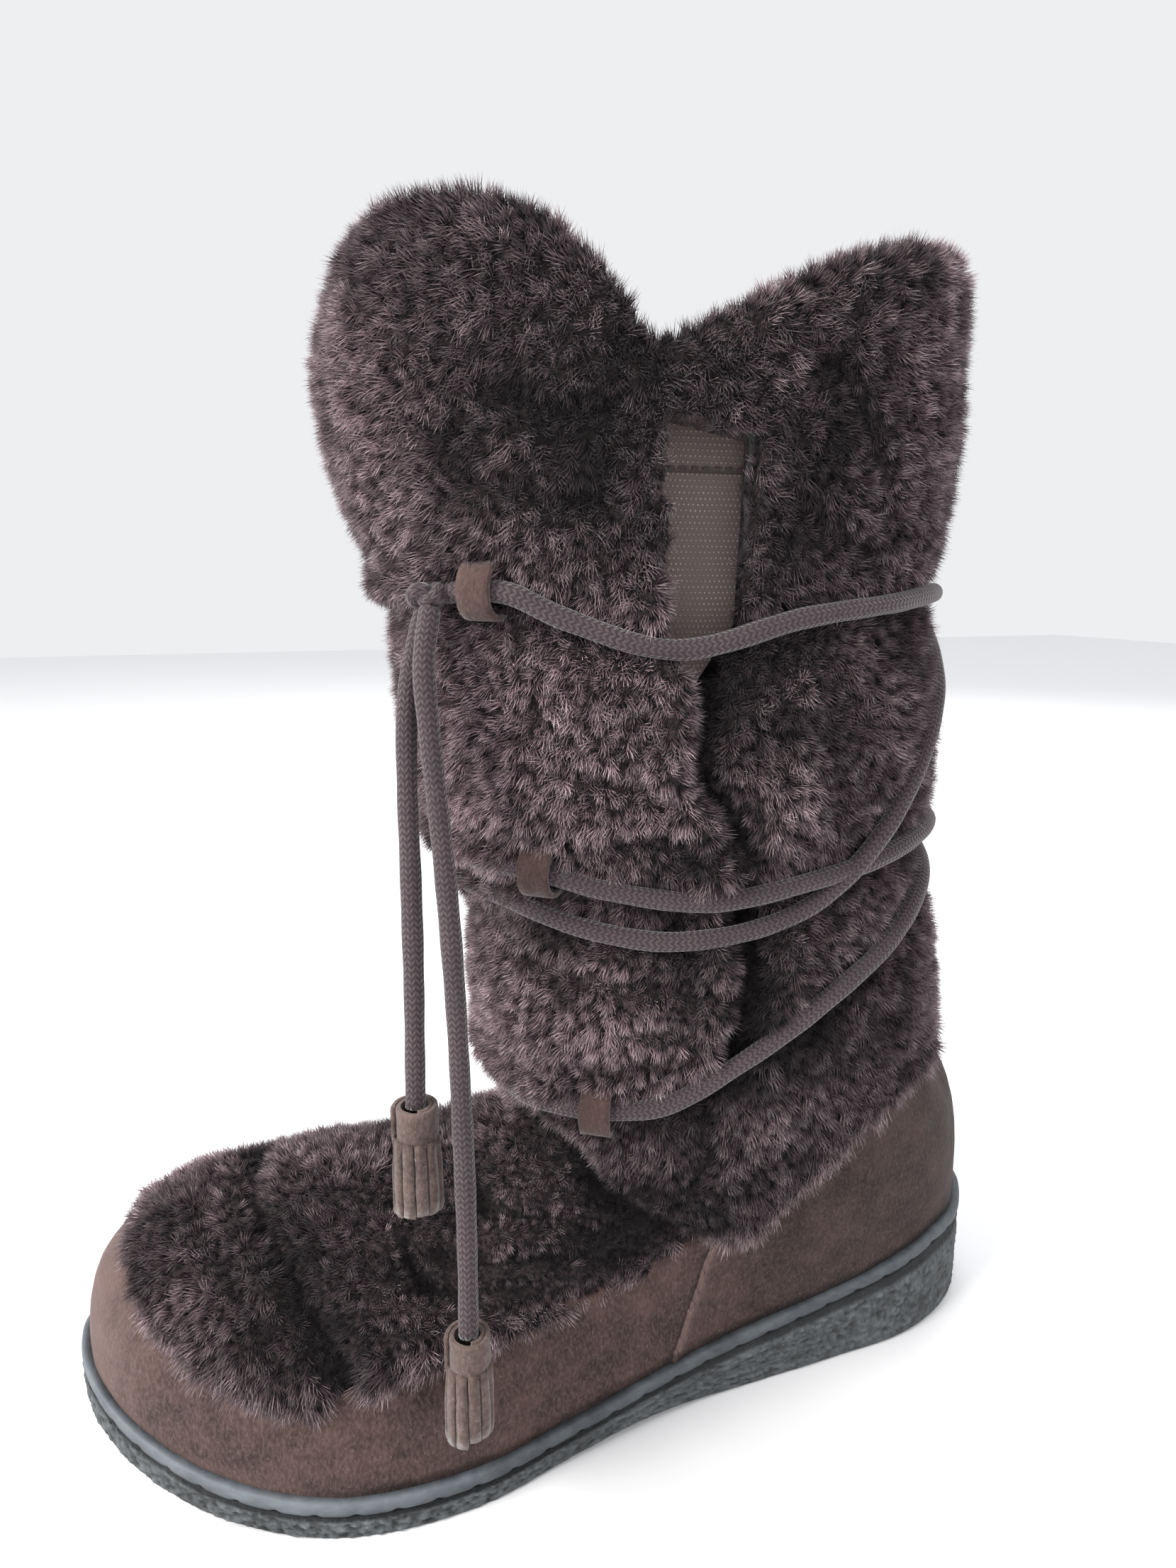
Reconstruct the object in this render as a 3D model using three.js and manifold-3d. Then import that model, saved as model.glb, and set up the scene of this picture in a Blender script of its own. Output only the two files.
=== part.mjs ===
// Winter boot for the left foot: a pile shaft and vamp over a suede lower, on a low wedge sole.
// Millimetres. The toe points to -Y, +X is the outer side of the foot, +Z is up, and the boot
// stands on z = 0 with the origin under the middle of its sole.
import * as THREE from 'three';
import { mergeVertices } from 'three/addons/utils/BufferGeometryUtils.js';
import Module from 'manifold-3d';

const wasm = await Module();
wasm.setup();

// Driving dimensions of the sole
const SOLE_LENGTH = 275;
const SIDE_HEIGHT = 10;
const HEEL_RAISE = 21.5;
const HEEL_FLAT_END = 0.10;
const WEDGE_END = 0.62;
const TOE_SPRING = 10.5;
const TOE_RISE = 13;
const SPRING_START = 0.752;
const ARCH_LIFT = 2;
const ARCH_START = 0.33;
const ARCH_END = 0.62;
const WELT_HEIGHT = 4;
const WELT_LEDGE = 9;
const RIB_DEPTH = 0.8;
const TREAD_DEPTH = 2.2;
const TREAD_WIDTH = 3;
const TREAD_PITCH = 11;

// Driving dimensions of the upper
const WALL = 2;
const SUEDE = 2.3;
const PILE = 7;
const VAMP_PILE = 6;
const FOOT_INSET = 5;
const INSOLE_HEIGHT = 4;
const FOOT_ROUNDNESS = 2.4;
const SHAFT_ROUNDNESS = 2.3;
const PRESS_DEPTH = 3;
const PRESS_REACH = 9;
const GAP = 0.3;

// Driving dimensions of the lacing
const LACE_RADIUS = 2.4;
const LACE_SIDES = 8;
const LACE_STEP = 23;
const LACE_END_STEP = 14;
const LACE_LIFT = 1.9;
const LOOP_WIDTH = 8;
const LOOP_HEIGHT = 15;
const LOOP_STRAP = 1.4;
const TASSEL_RADIUS = 5.4;
const TASSEL_COLLAR = 9.5;
const TASSEL_FRINGE = 17;
const TASSEL_STRIPS = 6;

// Number of steps in the lofts
const OUTLINE_STEPS = 18;
const SHAFT_STEPS = 24;
const LINING_STEPS = 16;

// Edge of the sole: share of the length from the heel, and x of its outer and inner edge
const SOLE_OUTLINE = [
  { along: 0, outer: 0, inner: 0 },
  { along: 0.02, outer: 14, inner: -14 },
  { along: 0.06, outer: 25, inner: -25 },
  { along: 0.14, outer: 34, inner: -33 },
  { along: 0.25, outer: 36, inner: -34 },
  { along: 0.40, outer: 38, inner: -30 },
  { along: 0.54, outer: 44.5, inner: -34 },
  { along: 0.65, outer: 50.5, inner: -42.8 },
  { along: 0.75, outer: 49, inner: -49.5 },
  { along: 0.85, outer: 38, inner: -48.5 },
  { along: 0.935, outer: 19.5, inner: -42.5 },
  { along: 0.985, outer: -0.7, inner: -31.7 },
  { along: 1, outer: -19, inner: -19 },
];

// Foot part of the last: height of its top over the sole, and x of its ridge
const FOOT_RIDGE = [
  { along: 0, rise: 0, ridge: 0 },
  { along: 0.02, rise: 36, ridge: 0 },
  { along: 0.06, rise: 50, ridge: 0 },
  { along: 0.14, rise: 60, ridge: 0 },
  { along: 0.25, rise: 68, ridge: 0 },
  { along: 0.40, rise: 73, ridge: 0 },
  { along: 0.54, rise: 65, ridge: -1 },
  { along: 0.65, rise: 57.5, ridge: -3 },
  { along: 0.75, rise: 55, ridge: -6 },
  { along: 0.85, rise: 49.5, ridge: -10 },
  { along: 0.935, rise: 37, ridge: -15 },
  { along: 0.985, rise: 19, ridge: -18 },
  { along: 1, rise: 0, ridge: -19 },
];

// Shaft of the last, section by section: y of its front and back, x of its outer and inner side
const SHAFT_SECTIONS = [
  { z: 5, front: 0, back: 124, outer: 30, inner: -27 },
  { z: 45, front: -6, back: 128, outer: 34, inner: -31 },
  { z: 65, front: -10, back: 124, outer: 36, inner: -34 },
  { z: 86, front: -13, back: 113, outer: 38.5, inner: -37 },
  { z: 104, front: -17, back: 107, outer: 40, inner: -39 },
  { z: 122, front: -18, back: 103, outer: 42, inner: -41 },
  { z: 140, front: -19, back: 100, outer: 43.5, inner: -43 },
  { z: 155, front: -25, back: 98, outer: 45, inner: -44.5 },
  { z: 174, front: -32, back: 96.5, outer: 47, inner: -46.5 },
  { z: 201, front: -36, back: 95, outer: 49, inner: -48.5 },
  { z: 226, front: -40, back: 93.5, outer: 50.5, inner: -50 },
  { z: 250, front: -48, back: 94, outer: 52.5, inner: -52 },
  { z: 270, front: -52, back: 95, outer: 53.5, inner: -53 },
  { z: 290, front: -50, back: 95, outer: 53.5, inner: -53 },
  { z: 318, front: -40, back: 95, outer: 53, inner: -52.5 },
];

// How far the pile swells between the lace levels
const PILE_SWELL = [
  { z: 5, swell: 0 },
  { z: 86, swell: -0.5 },
  { z: 104, swell: 1 },
  { z: 126, swell: 2 },
  { z: 150, swell: -1 },
  { z: 168, swell: 1 },
  { z: 192, swell: 2 },
  { z: 222, swell: -0.5 },
  { z: 246, swell: 1.5 },
  { z: 275, swell: 2 },
  { z: 318, swell: 1 },
];

// Height of the line where the pile ends over the suede, on the outer and the inner side
const PILE_EDGE = [
  { y: -155, outer: 100, inner: 100 },
  { y: -130, outer: 78, inner: 78 },
  { y: -121, outer: 54, inner: 56 },
  { y: -112, outer: 45, inner: 49 },
  { y: -104, outer: 41, inner: 44 },
  { y: -92, outer: 36, inner: 37 },
  { y: -79, outer: 33.5, inner: 34 },
  { y: -62, outer: 37, inner: 35 },
  { y: -40, outer: 41, inner: 39 },
  { y: 0, outer: 43, inner: 46 },
  { y: 30, outer: 49, inner: 55 },
  { y: 46, outer: 54, inner: 71 },
  { y: 58, outer: 66, inner: 82 },
  { y: 75, outer: 81, inner: 88 },
  { y: 100, outer: 90, inner: 92 },
  { y: 155, outer: 96, inner: 96 },
];

// Height of the collar, on the outer and the inner side
const COLLAR = [
  { y: -80, outer: 304, inner: 304 },
  { y: -40, outer: 306, inner: 306 },
  { y: -20, outer: 299, inner: 304 },
  { y: -8, outer: 288, inner: 302 },
  { y: 1, outer: 277, inner: 300 },
  { y: 9, outer: 279, inner: 298 },
  { y: 22, outer: 285, inner: 298 },
  { y: 42, outer: 294, inner: 300 },
  { y: 70, outer: 302, inner: 304 },
  { y: 120, outer: 306, inner: 306 },
];

// Outline of the elastic gore, seen from the outer side
const GORE_OUTLINE = [
  { y: 4, z: 263 },
  { y: 25, z: 259 },
  { y: 25, z: 219 },
  { y: 16, z: 205 },
  { y: 9, z: 214 },
];

// Places of the suede loops: angle around the shaft (0 is the outer side, 90 the back) and height
const LOOPS = [
  { name: 'loop_front_top', angle: -50, z: 227, height: LOOP_HEIGHT },
  { name: 'loop_front_middle', angle: -48, z: 162, height: LOOP_HEIGHT },
  { name: 'loop_front_low', angle: -45, z: 95, height: LOOP_HEIGHT },
  { name: 'loop_back_top', angle: 90, z: 225, height: LOOP_HEIGHT + 3 },
  { name: 'loop_back_middle', angle: 90, z: 158.5, height: LOOP_HEIGHT + 3 },
];

// Half of the lace that leaves the low loop to the outer side, ending beside the top front loop
const LACE_OUTER_HALF = [
  { angle: -45, z: 95 },
  { angle: -26, z: 98 },
  { angle: -8, z: 110 },
  { angle: 5, z: 123 },
  { angle: 30, z: 138 },
  { angle: 60, z: 150 },
  { angle: 90, z: 156 },
  { angle: 120, z: 156 },
  { angle: 150, z: 153 },
  { angle: 180, z: 149 },
  { angle: 210, z: 147 },
  { angle: 240, z: 148 },
  { angle: 270, z: 150 },
  { angle: 297, z: 152 },
  { angle: 318, z: 147 },
  { angle: 341, z: 144 },
  { angle: 366, z: 150 },
  { angle: 390, z: 172 },
  { angle: 420, z: 203 },
  { angle: 450, z: 228 },
  { angle: 480, z: 232 },
  { angle: 510, z: 230 },
  { angle: 540, z: 228 },
  { angle: 570, z: 227 },
  { angle: 600, z: 227 },
  { angle: 630, z: 227 },
  { angle: 656, z: 226.5 },
];

// Half of the lace that leaves the low loop to the inner side, ending through the top front loop
const LACE_INNER_HALF = [
  { angle: -45, z: 95 },
  { angle: -66, z: 95 },
  { angle: -90, z: 97 },
  { angle: -120, z: 101 },
  { angle: -150, z: 108 },
  { angle: -180, z: 118 },
  { angle: -210, z: 132 },
  { angle: -240, z: 146 },
  { angle: -270, z: 161 },
  { angle: -300, z: 164 },
  { angle: -330, z: 161 },
  { angle: -353, z: 157 },
  { angle: -371, z: 154 },
  { angle: -393, z: 158 },
  { angle: -408, z: 162 },
  { angle: -424, z: 162 },
  { angle: -450, z: 163 },
  { angle: -480, z: 166 },
  { angle: -510, z: 173 },
  { angle: -540, z: 185 },
  { angle: -570, z: 200 },
  { angle: -600, z: 213 },
  { angle: -630, z: 222.5 },
  { angle: -660, z: 226 },
  { angle: -690, z: 224 },
  { angle: -713, z: 221 },
  { angle: -733, z: 214.5 },
  { angle: -752, z: 221 },
  { angle: -763, z: 226.5 },
  { angle: -770, z: 227 },
  { angle: -779, z: 226.5 },
];

// Hanging ends of the lace, from the top front loop to their tassels
const LACE_END_SHORT = [
  [30.5, -41.6, 224],
  [34.0, -45.2, 213],
  [37.0, -47.6, 202],
  [39.5, -48.6, 186],
  [41.0, -48.8, 165],
  [42.5, -49.2, 140],
  [44.0, -49.8, 122],
  [45.0, -50.2, 110.5],
];
const LACE_END_LONG = [
  [36.0, -41.8, 223],
  [40.6, -44.2, 212],
  [43.0, -44.1, 200],
  [44.2, -43.2, 186],
  [45.6, -41.8, 165],
  [47.4, -40.8, 140],
  [49.6, -40.4, 112],
  [52.2, -40.5, 88],
  [54.8, -41.0, 70],
  [56.4, -41.5, 56.5],
];
const KNOT_PLACE = { angle: -61, z: 226 };
const KNOT_RADIUS = 5.2;

const FLOOR_SPAN = 90;
const GORE_REACH = 60;
const TURN = Math.PI * 2;
const UPWARD = new THREE.Vector3(0, 0, 1);

function clamped(value, low, high) {
  return Math.min(Math.max(value, low), high);
}

// Smooth curve through one column of a table
function tableCurve(rows, key, column) {
  const xs = rows.map((row) => row[key]);
  const ys = rows.map((row) => row[column]);
  const last = xs.length - 1;
  const slope = (i) => (ys[i + 1] - ys[i]) / (xs[i + 1] - xs[i]);
  const tangentAt = (i) => {
    if (i === 0) return slope(0);
    if (i === last) return slope(last - 1);
    return (slope(i - 1) + slope(i)) / 2;
  };
  const tangents = xs.map((x, i) => tangentAt(i));
  return (x) => {
    const at = clamped(x, xs[0], xs[last]);
    let i = 0;
    while (i < last - 1 && at > xs[i + 1]) i += 1;
    const step = xs[i + 1] - xs[i];
    const t = (at - xs[i]) / step;
    const start = (1 + 2 * t) * (1 - t) ** 2 * ys[i] + t * (1 - t) ** 2 * step * tangents[i];
    const end = t * t * (3 - 2 * t) * ys[i + 1] + t * t * (t - 1) * step * tangents[i + 1];
    return start + end;
  };
}

// Closed solid from triangles given as corner points, in one consistent turning sense
function solidOf(triangles) {
  const corners = new Float32Array(triangles.flat(2));
  const geometry = new THREE.BufferGeometry();
  geometry.setAttribute('position', new THREE.BufferAttribute(corners, 3));
  return solidFromGeometry(geometry);
}

function signedVolume(position, triangles) {
  const a = new THREE.Vector3();
  const b = new THREE.Vector3();
  const c = new THREE.Vector3();
  let volume = 0;
  for (let i = 0; i < triangles.length; i += 3) {
    a.fromBufferAttribute(position, triangles[i]);
    b.fromBufferAttribute(position, triangles[i + 1]);
    c.fromBufferAttribute(position, triangles[i + 2]);
    volume += a.dot(b.cross(c)) / 6;
  }
  return volume;
}

function solidFromGeometry(source) {
  const bare = source.clone();
  bare.deleteAttribute('normal');
  bare.deleteAttribute('uv');
  const merged = mergeVertices(bare, 1e-3);
  const index = merged.index.array;
  const triangles = [];
  for (let i = 0; i < index.length; i += 3) {
    const [a, b, c] = [index[i], index[i + 1], index[i + 2]];
    if (a !== b && b !== c && c !== a) triangles.push(a, b, c);
  }
  if (signedVolume(merged.attributes.position, triangles) < 0) triangles.reverse();
  const mesh = new wasm.Mesh({
    numProp: 3,
    vertProperties: new Float32Array(merged.attributes.position.array),
    triVerts: new Uint32Array(triangles),
  });
  return new wasm.Manifold(mesh);
}

function geometryOf(solid) {
  const { vertProperties, triVerts } = solid.getMesh();
  const geometry = new THREE.BufferGeometry();
  geometry.setAttribute('position', new THREE.BufferAttribute(new Float32Array(vertProperties), 3));
  geometry.setIndex(new THREE.BufferAttribute(new Uint32Array(triVerts), 1));
  geometry.computeVertexNormals();
  return geometry;
}

function joined(solids) {
  return solids.reduce((whole, solid) => whole.add(solid));
}

// Band of triangles between two closed rings of equal length
function band(low, high) {
  return low.flatMap((point, k) => {
    const next = (k + 1) % low.length;
    return [[point, high[k], high[next]], [point, high[next], low[next]]];
  });
}

// Loft through closed rings. A ladder cap crosses from side to side between matching points of
// a ring, and a fan cap meets in the ring's middle.
function loft(rings, cap) {
  const triangles = rings.slice(1).flatMap((ring, j) => band(rings[j], ring));
  const addCap = cap === 'fan' ? fanCap : ladderCap;
  addCap(rings.at(-1)).forEach(([a, b, c]) => triangles.push([b, a, c]));
  triangles.push(...addCap(rings[0]));
  return solidOf(triangles);
}

function fanCap(ring) {
  const sum = ring.reduce((total, p) => total.map((value, i) => value + p[i]), [0, 0, 0]);
  const middle = sum.map((value) => value / ring.length);
  return ring.map((point, k) => [point, ring[(k + 1) % ring.length], middle]);
}

function ladderCap(ring) {
  const count = ring.length;
  const triangles = [];
  for (let k = 0; k < count / 2; k += 1) {
    const far = (count - k) % count;
    triangles.push([ring[k], ring[k + 1], ring[far]]);
    triangles.push([ring[far], ring[k + 1], ring[count - k - 1]]);
  }
  return triangles;
}

// The outline is walked by a station from 0 at the heel to 1 at the toe, closer at both ends
function stationOf(along) {
  return Math.acos(1 - 2 * along) / Math.PI;
}

const outlineRows = SOLE_OUTLINE.map((row) => ({ ...row, station: stationOf(row.along) }));
const outerEdge = tableCurve(outlineRows, 'station', 'outer');
const innerEdge = tableCurve(outlineRows, 'station', 'inner');
const ridgeRows = FOOT_RIDGE.map((row) => ({ ...row, station: stationOf(row.along) }));
const footRise = tableCurve(ridgeRows, 'station', 'rise');
const footRidge = tableCurve(ridgeRows, 'station', 'ridge');

function soleBottom(y) {
  const along = 0.5 - y / SOLE_LENGTH;
  const spring = clamped((along - SPRING_START) / (1 - SPRING_START), 0, 1);
  const arch = clamped((along - ARCH_START) / (ARCH_END - ARCH_START), 0, 1);
  return TOE_SPRING * spring ** 2 + ARCH_LIFT * Math.sin(Math.PI * arch) ** 2;
}

function soleTop(y) {
  const along = 0.5 - y / SOLE_LENGTH;
  const spring = Math.max((along - SPRING_START) / (1 - SPRING_START), 0);
  const wedge = clamped((along - HEEL_FLAT_END) / (WEDGE_END - HEEL_FLAT_END), 0, 1);
  return SIDE_HEIGHT + TOE_RISE * spring ** 2 + HEEL_RAISE * (1 - wedge) ** 1.5;
}

function outlinePoint(turn) {
  const folded = ((turn % 2) + 2) % 2;
  const station = folded <= 1 ? folded : 2 - folded;
  const edge = folded <= 1 ? outerEdge : innerEdge;
  const y = SOLE_LENGTH * (0.5 - (1 - Math.cos(Math.PI * station)) / 2);
  return new THREE.Vector2(edge(station), y);
}

// Outline moved inwards; turn runs 0 to 1 along the outer edge and 1 to 2 back along the inner
function insetPoint(turn, inset) {
  const before = outlinePoint(turn - 0.02);
  const after = outlinePoint(turn + 0.02);
  const along = after.sub(before).normalize();
  return outlinePoint(turn).add(new THREE.Vector2(along.y, -along.x).multiplyScalar(inset));
}

function outlineRing(inset, heightAt, steps = OUTLINE_STEPS) {
  return Array.from({ length: 2 * steps }, (_, k) => {
    const point = insetPoint(k / steps, inset);
    return [point.x, point.y, heightAt(point.y)];
  });
}

function plate(layers, steps = OUTLINE_STEPS) {
  return loft(layers.map((layer) => outlineRing(layer.inset, layer.height, steps)), 'ladder');
}

// Point of the foot form: turn runs around the outline, and level rises from 0 to a right angle
function footPoint(turn, level, offset) {
  const edge = insetPoint(turn, FOOT_INSET - offset);
  const partner = insetPoint(2 - turn, FOOT_INSET - offset);
  const folded = ((turn % 2) + 2) % 2;
  const station = folded <= 1 ? folded : 2 - folded;
  const reach = Math.max(Math.cos(level), 0) ** (2 / FOOT_ROUNDNESS);
  const lift = Math.sin(level) ** (2 / FOOT_ROUNDNESS);
  const ridge = footRidge(station);
  const middleY = (edge.y + partner.y) / 2;
  const x = ridge + (edge.x - ridge) * reach;
  const y = middleY + (edge.y - middleY) * reach;
  return [x, y, soleTop(y) + (footRise(station) + offset) * lift];
}

function footForm(offset, steps = OUTLINE_STEPS, levels = [0, 22, 43, 62, 79, 90]) {
  const skirt = 30;
  const rings = levels.map((degrees) => Array.from({ length: 2 * steps }, (_, k) => {
    return footPoint(k / steps, THREE.MathUtils.degToRad(degrees), offset);
  }));
  const hem = rings[0].map(([x, y, z]) => [x, y, z - skirt]);
  return loft([hem, ...rings], 'ladder');
}

const shaftCurves = Object.fromEntries(['front', 'back', 'outer', 'inner'].map((side) => {
  return [side, tableCurve(SHAFT_SECTIONS, 'z', side)];
}));
const pileSwell = tableCurve(PILE_SWELL, 'z', 'swell');

// Point of the shaft form at an angle in degrees and a height
function shaftPoint(degrees, z, offset) {
  const angle = THREE.MathUtils.degToRad(degrees);
  const round = (value) => Math.sign(value) * Math.abs(value) ** (2 / SHAFT_ROUNDNESS);
  const [front, back] = [shaftCurves.front(z), shaftCurves.back(z)];
  const [outer, inner] = [shaftCurves.outer(z), shaftCurves.inner(z)];
  const x = (outer + inner) / 2 + ((outer - inner) / 2 + offset) * round(Math.cos(angle));
  const y = (front + back) / 2 + ((back - front) / 2 + offset) * round(Math.sin(angle));
  return new THREE.Vector3(x, y, z);
}

// Lace route over the hide, taken as the line that presses into the pile
function hideRoute(rows) {
  return rows.flatMap((row, i) => {
    if (i + 1 === rows.length) return [shaftPoint(row.angle, row.z, 0)];
    return [0, 0.25, 0.5, 0.75].map((share) => {
      const angle = THREE.MathUtils.lerp(row.angle, rows[i + 1].angle, share);
      return shaftPoint(angle, THREE.MathUtils.lerp(row.z, rows[i + 1].z, share), 0);
    });
  });
}
const pressedRoute = [...hideRoute(LACE_OUTER_HALF), ...hideRoute(LACE_INNER_HALF)];

function laceDistance(point) {
  return Math.sqrt(Math.min(...pressedRoute.map((place) => place.distanceToSquared(point))));
}

function pileAt(degrees, z) {
  const distance = laceDistance(shaftPoint(degrees, z, 0));
  return PILE + pileSwell(z) - PRESS_DEPTH * Math.exp(-((distance / PRESS_REACH) ** 2));
}

function pilePoint(degrees, z, lift = 0) {
  return shaftPoint(degrees, z, pileAt(degrees, z) + lift);
}

function shaftForm(heights, steps, pointAt) {
  return loft(heights.map((z) => Array.from({ length: steps }, (_, k) => {
    return pointAt((-360 * k) / steps, z).toArray();
  })), 'fan');
}

const SHAFT_HEIGHTS = SHAFT_SECTIONS.map((row) => row.z);
const PILE_HEIGHTS = [5, 50, 70, 84, 95, 108, 122, 137, 148, 157, 167, 180, 196, 211, 220, 229, 243, 262,
  285, 318];
const LINING_HEIGHTS = [5, 45, 65, 86, 110, 140, 174, 210, 250, 285, 318];

// Body between two heights that change along Y and from the outer to the inner side
function curtain(rows, low, high) {
  const stations = rows.map((row) => row.y);
  const ring = (height) => [
    ...stations.map((y) => [FLOOR_SPAN, y, height('outer', y)]),
    ...stations.toReversed().map((y) => [-FLOOR_SPAN, y, height('inner', y)]),
  ];
  const rings = [ring(low), ring(high)];
  const triangles = band(...rings);
  const count = rings[0].length;
  for (let k = 0; k + 1 < count / 2; k += 1) {
    const far = count - 1 - k;
    triangles.push([rings[0][k], rings[0][k + 1], rings[0][far]]);
    triangles.push([rings[0][far], rings[0][k + 1], rings[0][far - 1]]);
    triangles.push([rings[1][k + 1], rings[1][k], rings[1][far]]);
    triangles.push([rings[1][k + 1], rings[1][far], rings[1][far - 1]]);
  }
  return solidOf(triangles);
}

function sideCurves(rows) {
  return { outer: tableCurve(rows, 'y', 'outer'), inner: tableCurve(rows, 'y', 'inner') };
}
const pileEdge = sideCurves(PILE_EDGE);
const collarEdge = sideCurves(COLLAR);

function underPileEdge(raise) {
  return curtain(PILE_EDGE, () => -20, (side, y) => pileEdge[side](y) + raise);
}

function overCollar() {
  return curtain(COLLAR, (side, y) => collarEdge[side](y), () => 340);
}

// One clump of pile: a kite with its base sunk in the pile and its crest standing proud
function clump({ root, down, out, length, width, proud, sink }) {
  const side = new THREE.Vector3().crossVectors(down, out).normalize().multiplyScalar(width / 2);
  const at = (share, height) => root.clone().addScaledVector(down, length * share)
    .addScaledVector(out, height);
  const top = at(0, -sink);
  const tip = at(1, proud * 0.4 - sink * 0.5);
  const left = at(0.5, -sink).sub(side);
  const right = at(0.5, -sink).add(side);
  const crest = at(0.62, proud);
  const faces = [[top, left, crest], [left, tip, crest], [tip, right, crest], [right, top, crest],
    [left, top, right], [tip, left, right]];
  return solidOf(faces.map((face) => face.map((corner) => corner.toArray())));
}

// Steady spread of values between -1 and 1 that looks uneven
function uneven(i) {
  return Math.sin(i * 12.9898 + 4.1) * Math.cos(i * 4.1414);
}

// Place on a surface, with the way out of it and the steepest way down it
function surfaceFrame(pointAt, u, v, du, dv) {
  const across = pointAt(u + du, v).sub(pointAt(u - du, v));
  const along = pointAt(u, v + dv).sub(pointAt(u, v - dv));
  const out = new THREE.Vector3().crossVectors(across, along).normalize();
  const down = out.clone().multiplyScalar(out.z).sub(UPWARD).normalize();
  return { root: pointAt(u, v), down, out };
}

function shaftClumps() {
  const clumps = [];
  const rows = [296, 272, 247, 208, 190, 172, 132, 114];
  rows.forEach((z, row) => {
    const count = 11;
    for (let k = 0; k < count; k += 1) {
      const i = row * count + k;
      const degrees = ((k + 0.5 * (row % 2) + 0.2 * uneven(i)) * 360) / count;
      const height = z + 3 * uneven(i + 7);
      const frame = surfaceFrame(pilePoint, degrees, height, 1, 1);
      const low = frame.root.clone().addScaledVector(frame.down, 16);
      const onGore = Math.abs(low.y - 14) < 19 && low.x > 0 && z > 200 && z < 280;
      if (!onGore && laceDistance(frame.root) > 17 && laceDistance(low) > 15) {
        clumps.push(clump({ ...frame, length: 17, width: 13 + 2 * uneven(i), proud: 2, sink: 1.9 }));
      }
    }
  });
  return clumps;
}

const TOE_MIDDLE = footRidge(0.8);

function vampPoint(turn, level) {
  return new THREE.Vector3(...footPoint(turn, level, VAMP_PILE));
}

function edgeAt(point, middle) {
  return point.x > middle ? pileEdge.outer(point.y) : pileEdge.inner(point.y);
}

// Level at which the pile of the vamp meets the edge line
function edgeLevel(turn) {
  let [low, high] = [0.05, Math.PI / 2 - 0.02];
  for (let i = 0; i < 20; i += 1) {
    const middle = (low + high) / 2;
    const point = vampPoint(turn, middle);
    if (point.z < edgeAt(point, TOE_MIDDLE)) low = middle;
    else high = middle;
  }
  return high;
}

function vampClumps() {
  const clumps = [];
  const onPile = ({ root }) => root.z > edgeAt(root, TOE_MIDDLE) - 1;
  const first = 0.49;
  const count = 29;
  for (let k = 0; k <= count; k += 1) {
    const turn = first + ((2 - 2 * first) * k) / count;
    const level = edgeLevel(turn) + 0.03;
    const frame = surfaceFrame(vampPoint, turn, level, -0.004, 0.02);
    const root = frame.root.clone().addScaledVector(frame.down, -5);
    const length = 13 + 2 * uneven(k);
    if (onPile(frame)) clumps.push(clump({ ...frame, root, length, width: 10, proud: 0.8, sink: 1.8 }));
  }
  for (const share of [0.3, 0.62]) {
    for (let k = 0; k < 5; k += 1) {
      for (const side of [0, 1]) {
        const turn = 0.6 + 0.06 * (k + 0.5 * side);
        const place = side === 0 ? turn : 2 - turn;
        const level = THREE.MathUtils.lerp(edgeLevel(place), Math.PI / 2, share);
        const frame = surfaceFrame(vampPoint, place, level, -0.004, 0.02);
        if (onPile(frame)) clumps.push(clump({ ...frame, length: 14, width: 11, proud: 1.4, sink: 1.2 }));
      }
    }
  }
  return clumps;
}

// Fringe where the pile of the shaft meets the edge line, behind the vamp
function heelClumps() {
  const clumps = [];
  for (let k = 0; k <= 14; k += 1) {
    const degrees = 14 + (152 * k) / 14;
    let z = 80;
    for (let i = 0; i < 12; i += 1) {
      const point = pilePoint(degrees, z);
      z = (z + edgeAt(point, 0)) / 2;
    }
    const frame = surfaceFrame(pilePoint, degrees, z + 2, 1, 1);
    frame.root.addScaledVector(frame.down, -5);
    clumps.push(clump({ ...frame, length: 13 + 2 * uneven(k), width: 11, proud: 0.8, sink: 1 }));
  }
  return clumps;
}

// Local frame of a place on the shaft: out of the surface, up, and along the surface
function loopBasis(angle, z) {
  const before = shaftPoint(angle - 3, z, 0);
  const after = shaftPoint(angle + 3, z, 0);
  const along = after.sub(before).normalize();
  const out = new THREE.Vector3(along.y, -along.x, 0);
  return new THREE.Matrix4()
    .makeBasis(out, UPWARD, new THREE.Vector3().crossVectors(out, UPWARD))
    .setPosition(shaftPoint(angle, z, 0));
}

function extrudedBlock(shape, depth, matrix) {
  const geometry = new THREE.ExtrudeGeometry(shape, { depth, bevelEnabled: false, curveSegments: 2 });
  geometry.translate(0, 0, -depth / 2);
  return solidFromGeometry(geometry.applyMatrix4(matrix));
}

function rectangle(x0, y0, x1, y1) {
  return new THREE.Shape([
    new THREE.Vector2(x0, y0),
    new THREE.Vector2(x1, y0),
    new THREE.Vector2(x1, y1),
    new THREE.Vector2(x0, y1),
  ]);
}

function loopReach(angle, z) {
  return pileAt(angle, z) + LACE_LIFT + 2 * LACE_RADIUS + 0.6;
}

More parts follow.
